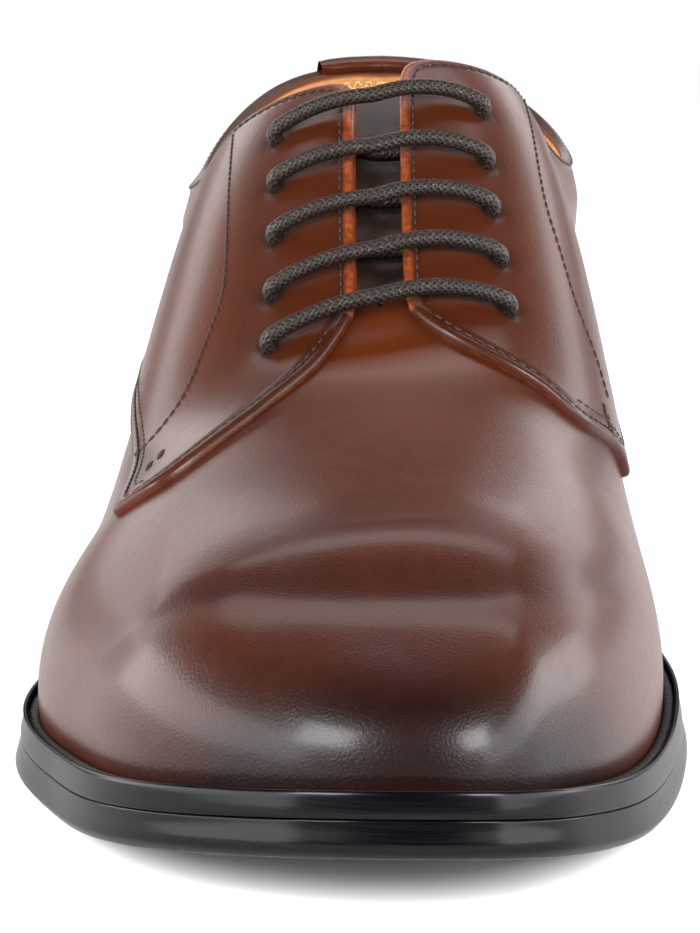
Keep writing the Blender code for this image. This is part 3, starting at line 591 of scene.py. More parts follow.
rubberLook = {"base": (0.014, 0.014, 0.014), "dark": (0.010, 0.010, 0.010), "light": (0.024, 0.024, 0.024),
              "roughness": 0.66, "depth": 0.05 * mm}


def makeRubber():
    f = Finish("blackRubber", rubberLook["base"], **{"Specular IOR Level": 0.35})
    fine = f.cells(f.place(), 1500)
    f.set("Base Color", f.blend(fine.between(0, 0.7), rubberLook["dark"], rubberLook["light"]))
    f.set("Roughness", rubberLook["roughness"] + 0.1 * fine)
    f.bump(fine, rubberLook["depth"], 0.5)
    return f.material


threads = {  # dark and light of the strands, roughness
    "brownThread": ((0.006, 0.0025, 0.002), (0.022, 0.009, 0.006), 0.6),
    "tanThread": ((0.40, 0.24, 0.11), (0.62, 0.42, 0.22), 0.55),
    "blackThread": ((0.008, 0.008, 0.008), (0.035, 0.034, 0.033), 0.5),
}


def makeThread(name):
    dark, light, roughness = threads[name]
    f = Finish(name, dark, **{"Specular IOR Level": 0.4})
    strand = f.noise(f.place(), 3500, 2, 0.6)
    f.set("Base Color", f.blend(strand.between(0.3, 0.7), dark, light))
    f.set("Roughness", roughness + 0.1 * strand)
    f.bump(strand, 0.05 * mm, 0.6)
    return f.material


calfLeather = makeCalf()
tanLining = makeLining()
tongueLeather = makeTongueLeather()
waxedCord = makeWaxedCord()
blackEdge = makeEdgeInk()
blackRubber = makeRubber()
brownThread, tanThread, blackThread = (makeThread(name) for name in threads)
print("materials made")


# Outlines of the quarters, in angle and girth.
def arcLengths(points):
    return np.concatenate([[0], np.cumsum(np.linalg.norm(np.diff(points, axis=0), axis=1))])


def evenly(angle, girth, side, count):  # the same line, with points evenly spaced along the leather
    length = arcLengths(lastPoint(angle, side, girth))
    way = np.linspace(0, length[-1], count)
    return np.interp(way, length, angle), np.interp(way, length, girth)


def softened(values, length, radius):  # rounds the corners of a line whose ends stay put
    pace = length[-1] / (len(values) - 1)
    reach = int(3 * radius / pace)
    kernel = np.exp(-0.5 * (np.arange(-reach, reach + 1) * pace / radius)**2)
    kernel /= kernel.sum()
    before = 2 * values[0] - values[reach:0:-1]
    after = 2 * values[-1] - values[-2:-reach - 2:-1]
    return np.convolve(np.concatenate([before, values, after]), kernel, "valid")


def frontLine(side):  # from the throat's corner down to the tip
    throat = angleAt(last["throat"])
    corner = girthBesideSpine(np.array([throat]), np.array([side]), last["slot"] / 2)[0]
    column = 0 if side < 0 else 2
    rows = [(corner, last["throat"])] + [row[column:column + 2] for row in frontEdge]
    way = np.arange(len(rows), dtype=float)
    fine = np.linspace(0, len(rows) - 1, 121)
    foot = curve([(place, row[1]) for place, row in zip(way, rows)], 1)(fine)
    return angleAt(foot), np.interp(fine, way, [row[0] for row in rows])


def lowerLine(side):  # from the tip back to the heel
    start = frontEdge[-1][1 if side < 0 else 3] + last["tipLead"]
    angle = np.linspace(angleAt(start), np.pi, 240)
    return angle, girthAtHeight(angle, np.full(angle.shape, side), lowerEdgeAt(shareAt(angle), side))


quarter = {
    "columns": 340,
    "rows": 60,
    "loopPoints": 2400,
    "cornerRadius": 3.2 * mm,
    "tipRadius": 0.8 * mm,
    "dimple": 0.55 * mm,
    "dimpleRadius": 1.75 * mm,
    "holeRadius": 1.85 * mm,
    "stitchIn": 2.15 * mm,
    "collarStitchIn": 1.0 * mm,
    "secondRowIn": 3.9 * mm,
    "skive": 0.38,
    "bodyLift": 3.5,
    # millimetres in from the edge, millimetres over the last, how much of the cut edge's colour shows
    "lowerRows": ((0.0, 1.9, 0.45), (0.0, 2.25, 0.25), (0.02, 2.7, 0.08), (0.18, 3.15, 0.04),
                  (0.5, 3.5, 0.03), (0.95, 3.66, 0.02), (1.4, 3.6, 0.03), (1.8, 3.42, 0.0),
                  (2.15, 3.22, 0.0), (2.5, 3.36, 0.0), (3.2, 3.5, 0.0)),
    "upperRows": ((0.0, 0.25, 1.0), (0.0, 1.2, 1.0), (0.0, 2.2, 1.0), (0.06, 2.65, 1.0), (0.28, 3.05, 1.0),
                  (0.65, 3.3, 1.0), (1.05, 3.46, 0.95), (1.4, 3.5, 0.45), (1.75, 3.42, 0.05),
                  (2.15, 3.26, 0.0), (2.5, 3.38, 0.0), (3.3, 3.5, 0.0)),
}
lowerInward, upperInward = 1, -1
outerLift = last["wall"] + last["quarterStep"]


def quarterLines(side):  # the lower line from tip to heel by the sole, and the upper by the slot and collar
    frontAngle, frontGirth = frontLine(side)
    lowAngle, lowGirth = lowerLine(side)
    angle = np.concatenate([frontAngle, lowAngle])
    bottom = evenly(angle, np.concatenate([frontGirth, lowGirth]), side, 900)
    fine = np.linspace(angleAt(last["throat"]), np.pi, 900)
    sides = np.full(fine.shape, side)
    slot = girthBesideSpine(fine, sides, last["slot"] / 2)
    top = evenly(fine, np.minimum(slot, collarGirth(fine, sides)), side, 900)
    # one loop: heel, tip, throat, facing corner, collar, heel
    loopAngle = np.concatenate([bottom[0][::-1], top[0][1:]])
    loopGirth = np.concatenate([bottom[1][::-1], top[1][1:]])
    length = arcLengths(lastPoint(loopAngle, side, loopGirth))
    even = np.linspace(0, length[-1], quarter["loopPoints"])
    throatAt = length[len(bottom[0]) - 1]
    tipAt = throatAt - arcLengths(lastPoint(frontAngle, side, frontGirth))[-1]
    isTip = softStep(40 * mm, 30 * mm, np.abs(even - tipAt))
    ends = softStep(0, 6 * mm, even) * softStep(0, 6 * mm, even[-1] - even)
    rounded = []
    for values in (loopAngle, loopGirth):
        sharp = np.interp(even, length, values)
        wide = softened(sharp, even, quarter["cornerRadius"])
        tight = softened(sharp, even, quarter["tipRadius"])
        rounded.append(sharp + (tight * isTip + wide * (1 - isTip) - sharp) * ends)
    split = int(round(throatAt / even[-1] * (quarter["loopPoints"] - 1)))
    lower = evenly(rounded[0][split::-1], rounded[1][split::-1], side, quarter["columns"])
    upper = evenly(rounded[0][split:], rounded[1][split:], side, quarter["columns"])
    return lower, upper


def inset(line, side, distance, inwardSign):  # the line moved across the leather, with rounder corners
    angle, girth = line
    even = arcLengths(lastPoint(angle, side, girth))
    deepest = float(np.max(distance))
    if deepest > 0.3 * mm:
        angle = softened(angle, even, 1.2 * deepest)
        girth = softened(girth, even, 1.2 * deepest)
    along, around = slopes(angle, side, girth)
    run = np.gradient(lastPoint(angle, side, girth), axis=0)
    run /= np.linalg.norm(run, axis=1, keepdims=True)
    normal = np.cross(along, around) * side
    normal /= np.linalg.norm(normal, axis=1, keepdims=True)
    across = np.cross(normal, run) * inwardSign * side * np.broadcast_to(distance, angle.shape)[:, None]
    aa, ag, gg = (along * along).sum(1), (along * around).sum(1), (around * around).sum(1)
    pa, pg = (across * along).sum(1), (across * around).sum(1)
    det = aa * gg - ag * ag
    movedAngle = np.clip(angle + (pa * gg - pg * ag) / det, 0, np.pi)
    return movedAngle, np.clip(girth + (pg * aa - pa * ag) / det, 0, 1)


outlines = {side: quarterLines(side) for side in (lateral, medial)}


def eyeletPlaces(side):
    column = 0 if side < 0 else 2
    return [(float(angleAt(row[column])), row[column + 1]) for row in eyelets]


def nearHoles(points, side):
    centres = np.array([skin(a, side, g, outerLift) for a, g in eyeletPlaces(side)])
    return np.linalg.norm(points[:, None, :] - centres[None], axis=2).min(axis=1)


def thinned(foot, fromTop):  # how much of the quarter's thickness is left near the collar
    collar = softStep(0.60, 0.66, foot) * softStep(0.95, 0.88, foot)
    return 1 - quarter["skive"] * collar * softStep(9 * mm, 1 * mm, fromTop)


def quarterRows(side):  # angle, girth, lift in millimetres, cut, and the way from the lower line to the upper
    lower, upper = outlines[side]
    rows = [(*inset(lower, side, away * mm, lowerInward), lift, cut, 0)
            for away, lift, cut in quarter["lowerRows"]]
    final = [(*inset(upper, side, away * mm, upperInward), lift, cut, 1)
             for away, lift, cut in quarter["upperRows"][::-1]]
    start, end = rows[-1], final[0]
    for way in np.linspace(0, 1, quarter["rows"])[1:-1]:
        angle = start[0] * (1 - way) + end[0] * way
        girth = start[1] * (1 - way) + end[1] * way
        rows.append((angle, girth, quarter["bodyLift"], 0, way))
    return rows + final


def makeQuarters():
    points, faces = [], []
    marks = {"burnishAndShade": [], "warm": [], "edge": [], "hole": []}
    for side in (lateral, medial):
        lower, upper = outlines[side]
        edgePoints = lastPoint(lower[0], side, lower[1])
        topPoints = lastPoint(upper[0], side, upper[1])
        rows = quarterRows(side)
        start = sum(len(p) for p in points)
        for angle, girth, lift, cut, way in rows:
            onLast = lastPoint(angle, side, girth)
            foot = shareAt(angle)
            lift = lift * thinned(foot, np.linalg.norm(onLast - topPoints, axis=1))
            near = nearHoles(skin(angle, side, girth, lift * mm), side)
            dip = quarter["dimple"] * np.exp(-(near / quarter["dimpleRadius"])**2)
            points.append(skin(angle, side, girth, lift * mm - dip))
            collar = softStep(0.56, 0.60, foot) * (way == 1)
            byEdge = softStep(7 * mm, 0, np.linalg.norm(onLast - edgePoints, axis=1))
            facing = softStep(0.60, 0.50, foot) * softStep(0.62, 0.78, girth)
            # painted shade: the eyelet holes, which the leather does not open, are marked dark
            hole = np.exp(-(near / quarter["holeRadius"])**4)
            marks["edge"].append(cut * (1 - 0.8 * collar))
            marks["hole"].append(np.maximum(hole, 0.3 * collar * (cut > 0.9)))
            marks["warm"].append(0.60 * facing + 0.10 * softStep(0.4, 0.8, girth))
            # darker at the heel, by the lower edge and at the collar for burnish; darker on the facings,
            # partly their own tone and partly painted shade from the laces; a ring of painted shade round
            # each eyelet's dimple
            shade = 0.35 * softStep(0.80, 1.0, foot) + 0.25 * byEdge + 0.45 * collar + 0.38 * facing
            marks["burnishAndShade"].append(np.clip(shade + 0.3 * np.exp(-(near / (3 * mm))**2), 0, 1))
        faces.append(grid(len(rows), quarter["columns"], first=start))
    marks = {key: np.concatenate(values) for key, values in marks.items()}
    points, faces = np.concatenate(points), np.concatenate(faces)
    return newPiece("quarters", points, faces, calfLeather, marks, facingFrom=(0, 0.03, 0.03))


vamp = {
    "rows": 96,
    "before": 150,
    "behind": 90,
    "crown": 30 * mm,
    "crownCore": 17 * mm,
    # the end of the toe's stiffener: its height in the middle, how far it drops, its middle and half width
    "puffHeight": 39 * mm, "puffDrop": 13 * mm, "puffMiddle": 4 * mm, "puffHalf": 42 * mm,
    # the soft step behind it, the trough at its foot and the ridge before it
    "step": 1.0 * mm, "trough": 0.28 * mm, "ridge": 0.28 * mm,
    "bandMiddle": 7 * mm, "bandHalf": 37 * mm, "bandDepth": 13.5 * mm,
    # the dark front of the toe, partly polish and partly painted dark reflection: middle and half sizes,
    # across and up
    "toeDarkMiddle": (6 * mm, 16 * mm), "toeDarkHalf": (43 * mm, 25 * mm),
    "shadowUnderEdge": 2.6 * mm,
    "inside": (0, 0.02, 0.03),
}


def evenCrown(points, normals):  # the ribs all meet on the toe, so one smooth sheet is fitted over that place
    middle = spine(0.2)
    away = np.linalg.norm(points - middle, axis=1)
    near = away < vamp["crown"]
    up = normals[away < 8 * mm].mean(0)
    up /= np.linalg.norm(up)
    across = np.cross(up, [0, 1, 0])
    across /= np.linalg.norm(across)
    ahead = np.cross(up, across)
    u, v, height = ((points - middle) @ axis / vamp["crown"] for axis in (across, ahead, up))
    terms = np.stack([u**i * v**j for i in range(7) for j in range(7 - i)], 1)
    fitted = near & (away > 6 * mm)
    weight = np.sqrt(away[fitted] / vamp["crown"])[:, None]
    share = np.linalg.lstsq(terms[fitted] * weight, height[fitted] * weight[:, 0], rcond=None)[0]
    blend = softStep(vamp["crown"] * 0.95, vamp["crownCore"], away) * near
    return points + up * ((terms @ share - height) * vamp["crown"] * blend)[:, None]


def pointNormals(points, faces, inside):  # turned away from a place inside the shoe
    flow = np.cross(points[faces[:, 2]] - points[faces[:, 0]], points[faces[:, 3]] - points[faces[:, 1]])
    flow *= np.sign(((points[faces].mean(1) - inside) * flow).sum(1))[:, None]
    corners = faces.ravel()
    total = np.stack([np.bincount(corners, np.repeat(flow[:, k], 4), len(points)) for k in range(3)], 1)
    return total / np.maximum(np.linalg.norm(total, axis=1, keepdims=True), 1e-12)


def puffRelief(points, normals):  # how far behind the stiffener's end, the band's depth, how much shows
    across = (points[:, 0] - vamp["puffMiddle"]) / vamp["puffHalf"]
    above = points[:, 2] - vamp["puffHeight"] + vamp["puffDrop"] * across**4
    tilt = np.zeros((len(points), 3))
    tilt[:, 0] = 4 * vamp["puffDrop"] / vamp["puffHalf"] * across**3
    tilt[:, 2] = 1
    tilt -= normals * (tilt * normals).sum(1)[:, None]
    behind = above / np.maximum(np.linalg.norm(tilt, axis=1), 0.3)
    aside = (points[:, 0] - vamp["bandMiddle"]) / vamp["bandHalf"]
    band = vamp["bandDepth"] * np.sqrt(np.clip(1 - aside**2, 0.03, 1))
    strength = softStep(1.3, 0.55, np.abs(across)) * softStep(-50 * mm, -70 * mm, points[:, 1])
    return behind, band, strength


def underEdges(points):  # how near the vamp's points lie to the quarters' lower lines
    edges = np.concatenate([lastPoint(outlines[s][0][0], s, outlines[s][0][1]) for s in (lateral, medial)])
    tree = KDTree(len(edges))
    for place, point in enumerate(edges):
        tree.insert(point, place)
    tree.balance()
    away = np.array([tree.find(point)[2] for point in points])
    return np.exp(-(away / vamp["shadowUnderEdge"])**2)


def makeVamp():
    throat = angleAt(last["throat"])
    behindThroat = np.linspace(throat, np.pi, vamp["behind"])[1:]
    angles = np.concatenate([np.linspace(0, throat, vamp["before"]), behindThroat])
    opening = softStep(angleAt(0.393), angleAt(0.47), angles)
    points, faces, feet, burnishAndShade, warm = [], [], [], [], []
    for side in (lateral, medial):
        low = np.minimum(np.interp(angles, *lowerLine(side)) + 0.07, 0.97)
        angle, girth = np.meshgrid(angles, np.linspace(0, 1, vamp["rows"]), indexing="ij")
        girth = girth * (1 - (1 - low) * opening)[:, None]
        faces.append(grid(len(angles), vamp["rows"], first=sum(len(p) for p in points)))
        points.append(lastPoint(angle, side, girth).reshape(-1, 3))
        feet.append((girth == 0).ravel())
        foot = shareAt(angle)
        # painted shade along the featherline, where the upper meets the welt; the toe is darker, partly
        # burnish and partly painted dark reflection
        feather = softStep(0.12, 0.0, girth) * softStep(0.9, 0.1, foot)
        burnishAndShade.append((0.30 * feather + 0.22 * softStep(0.20, 0.06, foot)).ravel())
        warm.append((0.85 * softStep(0.27, 0.37, foot) * softStep(0.66, 0.9, girth)).ravel())
    points, faces = np.concatenate(points), np.concatenate(faces)
    _, first, index = np.unique(np.round(points / 5e-6), axis=0, return_index=True, return_inverse=True)
    points, faces = points[first], index.reshape(-1)[faces]
    feet, burnishAndShade, warm = (np.concatenate(values)[first] for values in (feet, burnishAndShade, warm))
    inside = np.array(vamp["inside"])
    points = evenCrown(points, pointNormals(points, faces, inside))
    normals = pointNormals(points, faces, inside)
    behind, band, strength = puffRelief(points, normals)
    depth = band / vamp["bandDepth"]
    rise = softStep(0, 1, behind / band) * softStep(34 * mm, 14 * mm, behind)
    trough = vamp["trough"] * np.exp(-((behind - 1 * mm) / (4.5 * mm))**2)
    ridge = vamp["ridge"] * np.exp(-((behind + 6.5 * mm) / (5 * mm))**2)
    relief = (vamp["step"] * rise * depth - trough + ridge) * strength
    points = points + normals * (last["wall"] + relief)[:, None]
    points[feet, 2] = treadHeight(shareOf(points[feet])) + last["outsole"] + last["gap"] * 1.2
    # painted darkness: a painted dark reflection in the band behind the stiffener, a dark toe front that is
    # partly polish and partly painted dark reflection, and a painted shadow under the quarters' edges
    shadow = softStep(-3 * mm, 2.5 * mm, behind) * softStep(1.1, 0.35, behind / band)
    shadow *= softStep(0.1, 0.5, depth) * strength
    middle, half = vamp["toeDarkMiddle"], vamp["toeDarkHalf"]
    fromMiddle = np.hypot((points[:, 0] - middle[0]) / half[0], (points[:, 2] - middle[1]) / half[1])
    toePolishAndReflection = softStep(1.1, 0.35, fromMiddle) * softStep(-70 * mm, -100 * mm, points[:, 1])
    burnishAndShade = np.clip(burnishAndShade + 0.32 * shadow + 0.95 * toePolishAndReflection + 0.6 * underEdges(points), 0, 1)
    quads = [face for face in (tuple(dict.fromkeys(face)) for face in faces) if len(face) > 2]
    zeros = np.zeros(len(points))
    marks = {"burnishAndShade": burnishAndShade, "warm": warm, "edge": zeros, "hole": zeros}
    return newPiece("vamp", points, quads, calfLeather, marks, facingFrom=(0, 0, 0.03), merge=None)


inner = {"lift": 0.25 * mm, "binding": (1.6 * mm, 1.3 * mm), "aheadColumns": 49}


def makeInside():
    points, faces, binding = [], [], []
    rows = np.concatenate([np.linspace(0, 0.85, 26), np.linspace(0.85, 1, 22)[1:]])
    ahead = inner["aheadColumns"]
    for side in (lateral, medial):
        upperAngle, upperGirth = outlines[side][1]
        angle = np.concatenate([np.linspace(0, upperAngle[0], ahead + 1)[:-1], upperAngle])
        top = np.concatenate([np.ones(ahead), upperGirth])
        start = sum(len(p) for p in points)
        base = skin(angle[:, None], side, top[:, None] * rows[None, :], inner["lift"])
        fromTop = np.linalg.norm(base - base[:, -1:], axis=2)
        isBehind = (np.arange(len(angle)) >= ahead)[:, None]
        binding.append((softStep(*inner["binding"], fromTop) * isBehind).ravel())
        points.append(base.reshape(-1, 3))
        faces.append(grid(len(angle), len(rows), first=start))
    marks = {"binding": np.concatenate(binding)}
    points, faces = np.concatenate(points), np.concatenate(faces)
    return newPiece("lining", points, faces, tanLining, marks, facingFrom=(0, 0.03, 0.03), turn=True)


backStrap = {
    "halfWidth": 11.5 * mm,
    "above": 0.4 * mm,
    "columns": 41,
    # millimetres over the last, share of the way up the outside, millimetres down from the top
    "outside": ((3.3, 0.02, 0), (3.9, 0.03, 0), (4.2, 0.10, 0), (4.2, 0.35, 0), (4.2, 0.65, 0),
                (4.2, 1.0, 3.0)),
    # millimetres over the last, millimetres down from the top
    "over": ((4.2, 1.2), (4.05, 0.55), (3.6, 0.12), (2.9, 0.0), (1.2, 0.0), (0.2, 0.12), (-0.3, 0.6),
             (-0.35, 1.0), (-0.35, 1.9), (-0.2, 2.2), (0.3, 2.3)),
}


def makeBackStrap():
    fine = np.linspace(2.6, np.pi, 300)
    start = np.interp(-backStrap["halfWidth"], -np.abs(featherline(fine, 1)[:, 0]), fine)
    angle = np.linspace(start, np.pi, backStrap["columns"])
    foot = np.minimum(shareAt(angle), 1.0)
    thick = softStep(start - 0.001, start + 0.035, angle)
    points, faces, edge = [], [], []
    for side in (lateral, medial):
        own, other = collarAt(foot, side), collarAt(foot, -side)
        # both halves end at one height on the back seam
        collar = own + 0.5 * (other - own) * softStep(start, np.pi, angle) + backStrap["above"]
        top = girthAtHeight(angle, np.full(angle.shape, side), collar)
        perGirth = np.linalg.norm(slopes(angle, side, top)[1], axis=1)
        rows = [(lift, top * share - down * mm / perGirth) for lift, share, down in backStrap["outside"]]
        rows += [(lift, top - down * mm / perGirth) for lift, down in backStrap["over"]]
        faces.append(grid(len(rows), len(angle), first=sum(len(p) for p in points)))
        for lift, girth in rows:
            flush = 3.25 if lift > 3 else max(lift, 0.4)
            points.append(skin(angle, side, girth, (flush + (lift - flush) * thick) * mm))
            edge.append(np.full(angle.shape, 0.12 if 0 < lift < 4 else 0.0))
    points, faces = np.concatenate(points), np.concatenate(faces)
    zeros = np.zeros(len(points))
    marks = {"burnishAndShade": zeros + 0.25, "warm": zeros + 0.2, "edge": np.concatenate(edge), "hole": zeros}
    return newPiece("backStrap", points, faces, calfLeather, marks, facingFrom=(0, 0.09, 0.05))


tongue = {
    "wall": 2.0 * mm,
    "bed": 4.65 * mm,
    "start": 0.325,
    "end": 0.592,
    # foot, half width in girths, share of the bed's depth
    "rows": ((0.325, 0.20, 0.00), (0.345, 0.24, 0.50), (0.362, 0.27, 1.0), (0.410, 0.28, 1.0),
             (0.470, 0.28, 1.0), (0.530, 0.27, 1.0), (0.574, 0.25, 1.0), (0.592, 0.19, 1.0)),
}


def makeTongue():
    halfAt, depthAt = curve(tongue["rows"], 1), curve(tongue["rows"], 2)
    along = np.linspace(tongue["start"], tongue["end"], 96)
    share, reach = np.meshgrid(along, np.linspace(-1, 1, 61), indexing="ij")
    side = np.where(reach < 0, lateral, medial)
    girth = 1 - np.abs(reach) * halfAt(share)
    sideRound = np.sqrt(np.clip(1 - np.abs(reach)**14, 0, 1))
    endRound = np.sqrt(np.clip(1 - softStep(0.585, 0.5922, share)**2, 0, 1))
    half = tongue["wall"] / 2
    sink = last["gap"] + (tongue["bed"] - last["gap"]) * depthAt(share) + half
    thick = half * (0.06 + 0.94 * sideRound * endRound)
    layers = [skin(angleAt(share), side, girth, -(sink + sign * thick)) for sign in (-1, 1)]
    points = np.concatenate([layer.reshape(-1, 3) for layer in layers])
    rows, columns = share.shape
    size = share.size
    top = grid(rows, columns)
    faces = [tuple(f) for f in top] + [tuple(f[::-1] + size) for f in top]
    rim = list(range(columns)) + [i * columns + columns - 1 for i in range(1, rows)]
    rim += [(rows - 1) * columns + j for j in range(columns - 2, -1, -1)]
    rim += [i * columns for i in range(rows - 2, 0, -1)]
    faces += [(a, b, b + size, a + size) for a, b in zip(rim, rim[1:] + rim[:1])]
    return newPiece("tongueLeatherPiece", points, faces, tongueLeather)


lace = {
    "width": 2.9 * mm,
    "lift": 0.35 * mm,
    "within": 0.55 * mm,
    "arch": 1.2 * mm,
    "bend": 2.4 * mm,
    "pace": 0.45 * mm,
    "smoothing": 0.9 * mm,
    "sides": 24,
    "strands": 8,
    "braid": 5.0 * mm,
}


def overTheSpine(start, end, lift, count):
    way = np.linspace(0, 1, count)
    reach = np.where(way < 0.5, 1 - (1 - start[2]) * (1 - 2 * way), 1 - (1 - end[2]) * (2 * way - 1))
    side = np.where(way < 0.5, start[1], end[1])
    return skin(start[0] + (end[0] - start[0]) * way, side, reach, lift(way))


def roundedPath(points, radius, steps):  # every corner becomes an arc
    path = [points[0]]
    for before, corner, after in zip(points[:-2], points[1:-1], points[2:]):
        back, ahead = before - corner, after - corner
        longBack, longAhead = np.linalg.norm(back), np.linalg.norm(ahead)
        back, ahead = back / longBack, ahead / longAhead
        half = math.acos(np.clip(back @ ahead, -1, 1)) / 2
        if math.pi / 2 - half < 0.12:
            path.append(corner)
            continue
        reach = min(radius / math.tan(half), 0.49 * longBack, 0.49 * longAhead)
        centre = corner + (back + ahead) / np.linalg.norm(back + ahead) * reach / math.cos(half)
        start, end = corner + back * reach - centre, corner + ahead * reach - centre
        turn = math.pi - 2 * half
        for share in np.linspace(0, 1, steps):
            swept = math.sin(turn * (1 - share)) * start + math.sin(turn * share) * end
            path.append(centre + swept / math.sin(turn))
    return np.array(path + [points[-1]])


def smoothPath(path, pace, radius):
    length = arcLengths(path)
    even = np.linspace(0, length[-1], int(length[-1] / pace))
    path = np.stack([np.interp(even, length, path[:, k]) for k in range(3)], 1)
    return np.stack([softened(path[:, k], even, radius) for k in range(3)], 1)


def laceRoute():  # from under the lateral top eyelet, bar by bar, to under the medial one
    outside = outerLift + lace["width"] / 2 + lace["lift"]
    within = -(lace["width"] / 2 + lace["within"])
    holes = {}
    for side in (lateral, medial):
        holes[side] = [(np.float64(a), side, g) for a, g in eyeletPlaces(side)]

    def arched(way):
        return outside + lace["arch"] * np.sin(np.pi * way)

    def level(way):
        return np.full(way.shape, within)

    points = [skin(hole[0], lateral, hole[2] - 0.075, within) for hole in holes[lateral]]
    for row in range(len(eyelets) - 1, -1, -1):
        start, end = holes[lateral][row], holes[medial][row]
        points.append(skin(*start, within))
        points += list(overTheSpine(start, end, arched, 15))
        points.append(skin(*end, within))
        if row:
            points += list(overTheSpine(end, holes[lateral][row - 1], level, 11)[1:-1])
    points.append(skin(holes[medial][0][0], medial, holes[medial][0][2] - 0.06, within))
    return smoothPath(roundedPath(np.array(points), lace["bend"], 6), lace["pace"], lace["smoothing"])


def makeLaces():
    path = laceRoute()
    run = np.gradient(path, axis=0)
    run /= np.linalg.norm(run, axis=1, keepdims=True)
    side = np.cross(run[0], [0.3, 0.2, 1.0])
    around = np.linspace(0, 2 * np.pi, lace["sides"] + 1)
    strands = lace["strands"]
    points, uv = [], []
    for centre, ahead, at in zip(path, run, arcLengths(path)):
        side = side - ahead * (side @ ahead)
        side /= np.linalg.norm(side)
        other = np.cross(ahead, side)
        turn = at / lace["braid"]
        # strands cross each way round, so the cord's own outline is a little knobbly
        crossing = strands * np.pi * turn
        weave = np.sin(strands * around + crossing) + np.sin(strands * around - crossing)
        radius = lace["width"] / 2 * (0.98 + 0.009 * weave)[:, None]
        points.append(centre + radius * (np.cos(around)[:, None] * side + np.sin(around)[:, None] * other))
        uv.append(np.stack([around / (2 * np.pi), np.full(len(around), turn)], 1))
    count = len(around)
    end = (len(path) - 1) * count
    faces = [tuple(f) for f in grid(len(path), count)]
    faces += [tuple(range(count - 1)), tuple(range(end, end + count - 1))]
    points = np.concatenate(points)
    return newPiece("waxedLaces", points, faces, waxedCord, uv=np.concatenate(uv), merge=1e-6)


# The sole: rings round the featherline, closed by rungs from side to side.
def ladder(first, count):
    stations = count // 2 + 1
    left = [0] + [count - i for i in range(1, stations - 1)] + [stations - 1]
    rungs = [dict.fromkeys((i, i + 1, left[i + 1], left[i])) for i in range(stations - 1)]
    return [tuple(first + corner for corner in rung) for rung in rungs]


def closedRings(rings):
    count = len(rings[0])
    faces = [tuple(f) for f in grid(len(rings), count, closed=True)]
    return faces + ladder(0, count) + ladder((len(rings) - 1) * count, count)


outsole = {
    "stations": 300,
    # millimetres in and up: tread, bevel, bead, leaning wall, upper lip
    "profile": ((6.0, 0.05), (2.2, 0.0), (1.25, 0.0), (0.95, 0.12), (0.55, 0.55), (0.18, 1.0),
                (0.05, 1.25), (0.0, 1.5), (0.28, 2.6), (0.60, 3.8), (0.96, 5.1), (0.99, 5.35),
                (1.06, 5.52), (1.2, 5.6), (4.0, 5.6)),
}


def makeOutsole():
    angle, side = walkRound(outsole["stations"])
    rings = []
    for away, rise in outsole["profile"]:
        flat = soleEdge(angle, side, away * mm)
        rings.append(lifted(flat, treadHeight(shareOf(flat)) + rise * mm))
    return newPiece("outsoleEdge", np.concatenate(rings), closedRings(rings), blackEdge)


welt = {
    "stations": 300,
    # share of the way in, millimetres further in, millimetres over the outsole: rim, then the sunk channel
    "profile": ((0, 1.4, -0.2), (0, 1.1, -0.2), (0, 0.98, -0.12), (0, 0.92, 0.1), (0, 0.96, 0.6),
                (0, 1.18, 1.7), (0, 1.40, 2.7), (0, 1.52, 3.25), (0, 1.66, 3.65), (0, 1.86, 3.86),
                (0, 2.2, 3.9), (0.40, 0, 3.9), (0.47, 0, 3.84), (0.52, 0, 3.55), (0.56, 0, 2.7),
                (0.62, 0, 2.35), (0.85, 0, 2.3), (1.0, 0, 2.35), (1.0, 0, -0.2)),
    "stitchAt": 0.76,
    "stitchRise": 2.75 * mm,
}


def weltWall(angle, side):  # where the upper's wall stands, beside the featherline
    return last["wall"] / np.cos(leanAt(angle, side)) + last["gap"]


def makeWelt():
    angle, side = walkRound(welt["stations"])
    reach = np.linalg.norm(soleEdge(angle, side) - featherline(angle, side), axis=-1)
    rings = []
    for share, more, rise in welt["profile"]:
        wall = weltWall(angle, side) + rise * mm * np.tan(leanAt(angle, side))
        away = reach + (wall - reach) * share - more * mm
        flat = featherline(angle, side) + outward(angle, side) * away[:, None]
        rings.append(lifted(flat, treadHeight(shareOf(flat)) + last["outsole"] + last["gap"] + rise * mm))
    # the last ring joins the first
    faces = grid(len(rings) + 1, len(angle), closed=True) % (len(rings) * len(angle))
    return newPiece("weltStrip", np.concatenate(rings), faces, blackEdge)


heel = {
    "draft": 2.5,
    "breastBow": 4.0 * mm,
    # height and millimetres in: the lifts with a groove between each two
    "lifts": ((6.3, 0.15), (6.55, 0), (11.4, 0), (11.6, 0.14), (11.8, 0), (16.9, 0), (17.1, 0.14), (17.3, 0)),
    # millimetres in and under the outsole
    "seat": ((0.0, 0.6), (0.1, 0.25)),
    "topPiece": ((0, 0.7), (0.25, 0.25), (0.7, 0.05), (5.3, 0), (5.75, 0.08), (6.0, 0.3)),
}
heelTop = last["heelHeight"] / mm


def heelRing(level, extra=0.0):
    away = (heel["draft"] * (1 - level / heelTop) + extra) * mm
    angle = np.linspace(angleAt(last["breast"]), np.pi, 60)
    outer = soleEdge(angle, -np.ones(60), away)[-2::-1]
    edge = np.concatenate([soleEdge(angle, np.ones(60), away), outer])
    way = np.linspace(0, 1, 30)[1:-1]
    breast = edge[-1] + (edge[0] - edge[-1]) * way[:, None]
    breast[:, 1] += heel["breastBow"] * np.sin(np.pi * way)
    return np.concatenate([edge, breast])


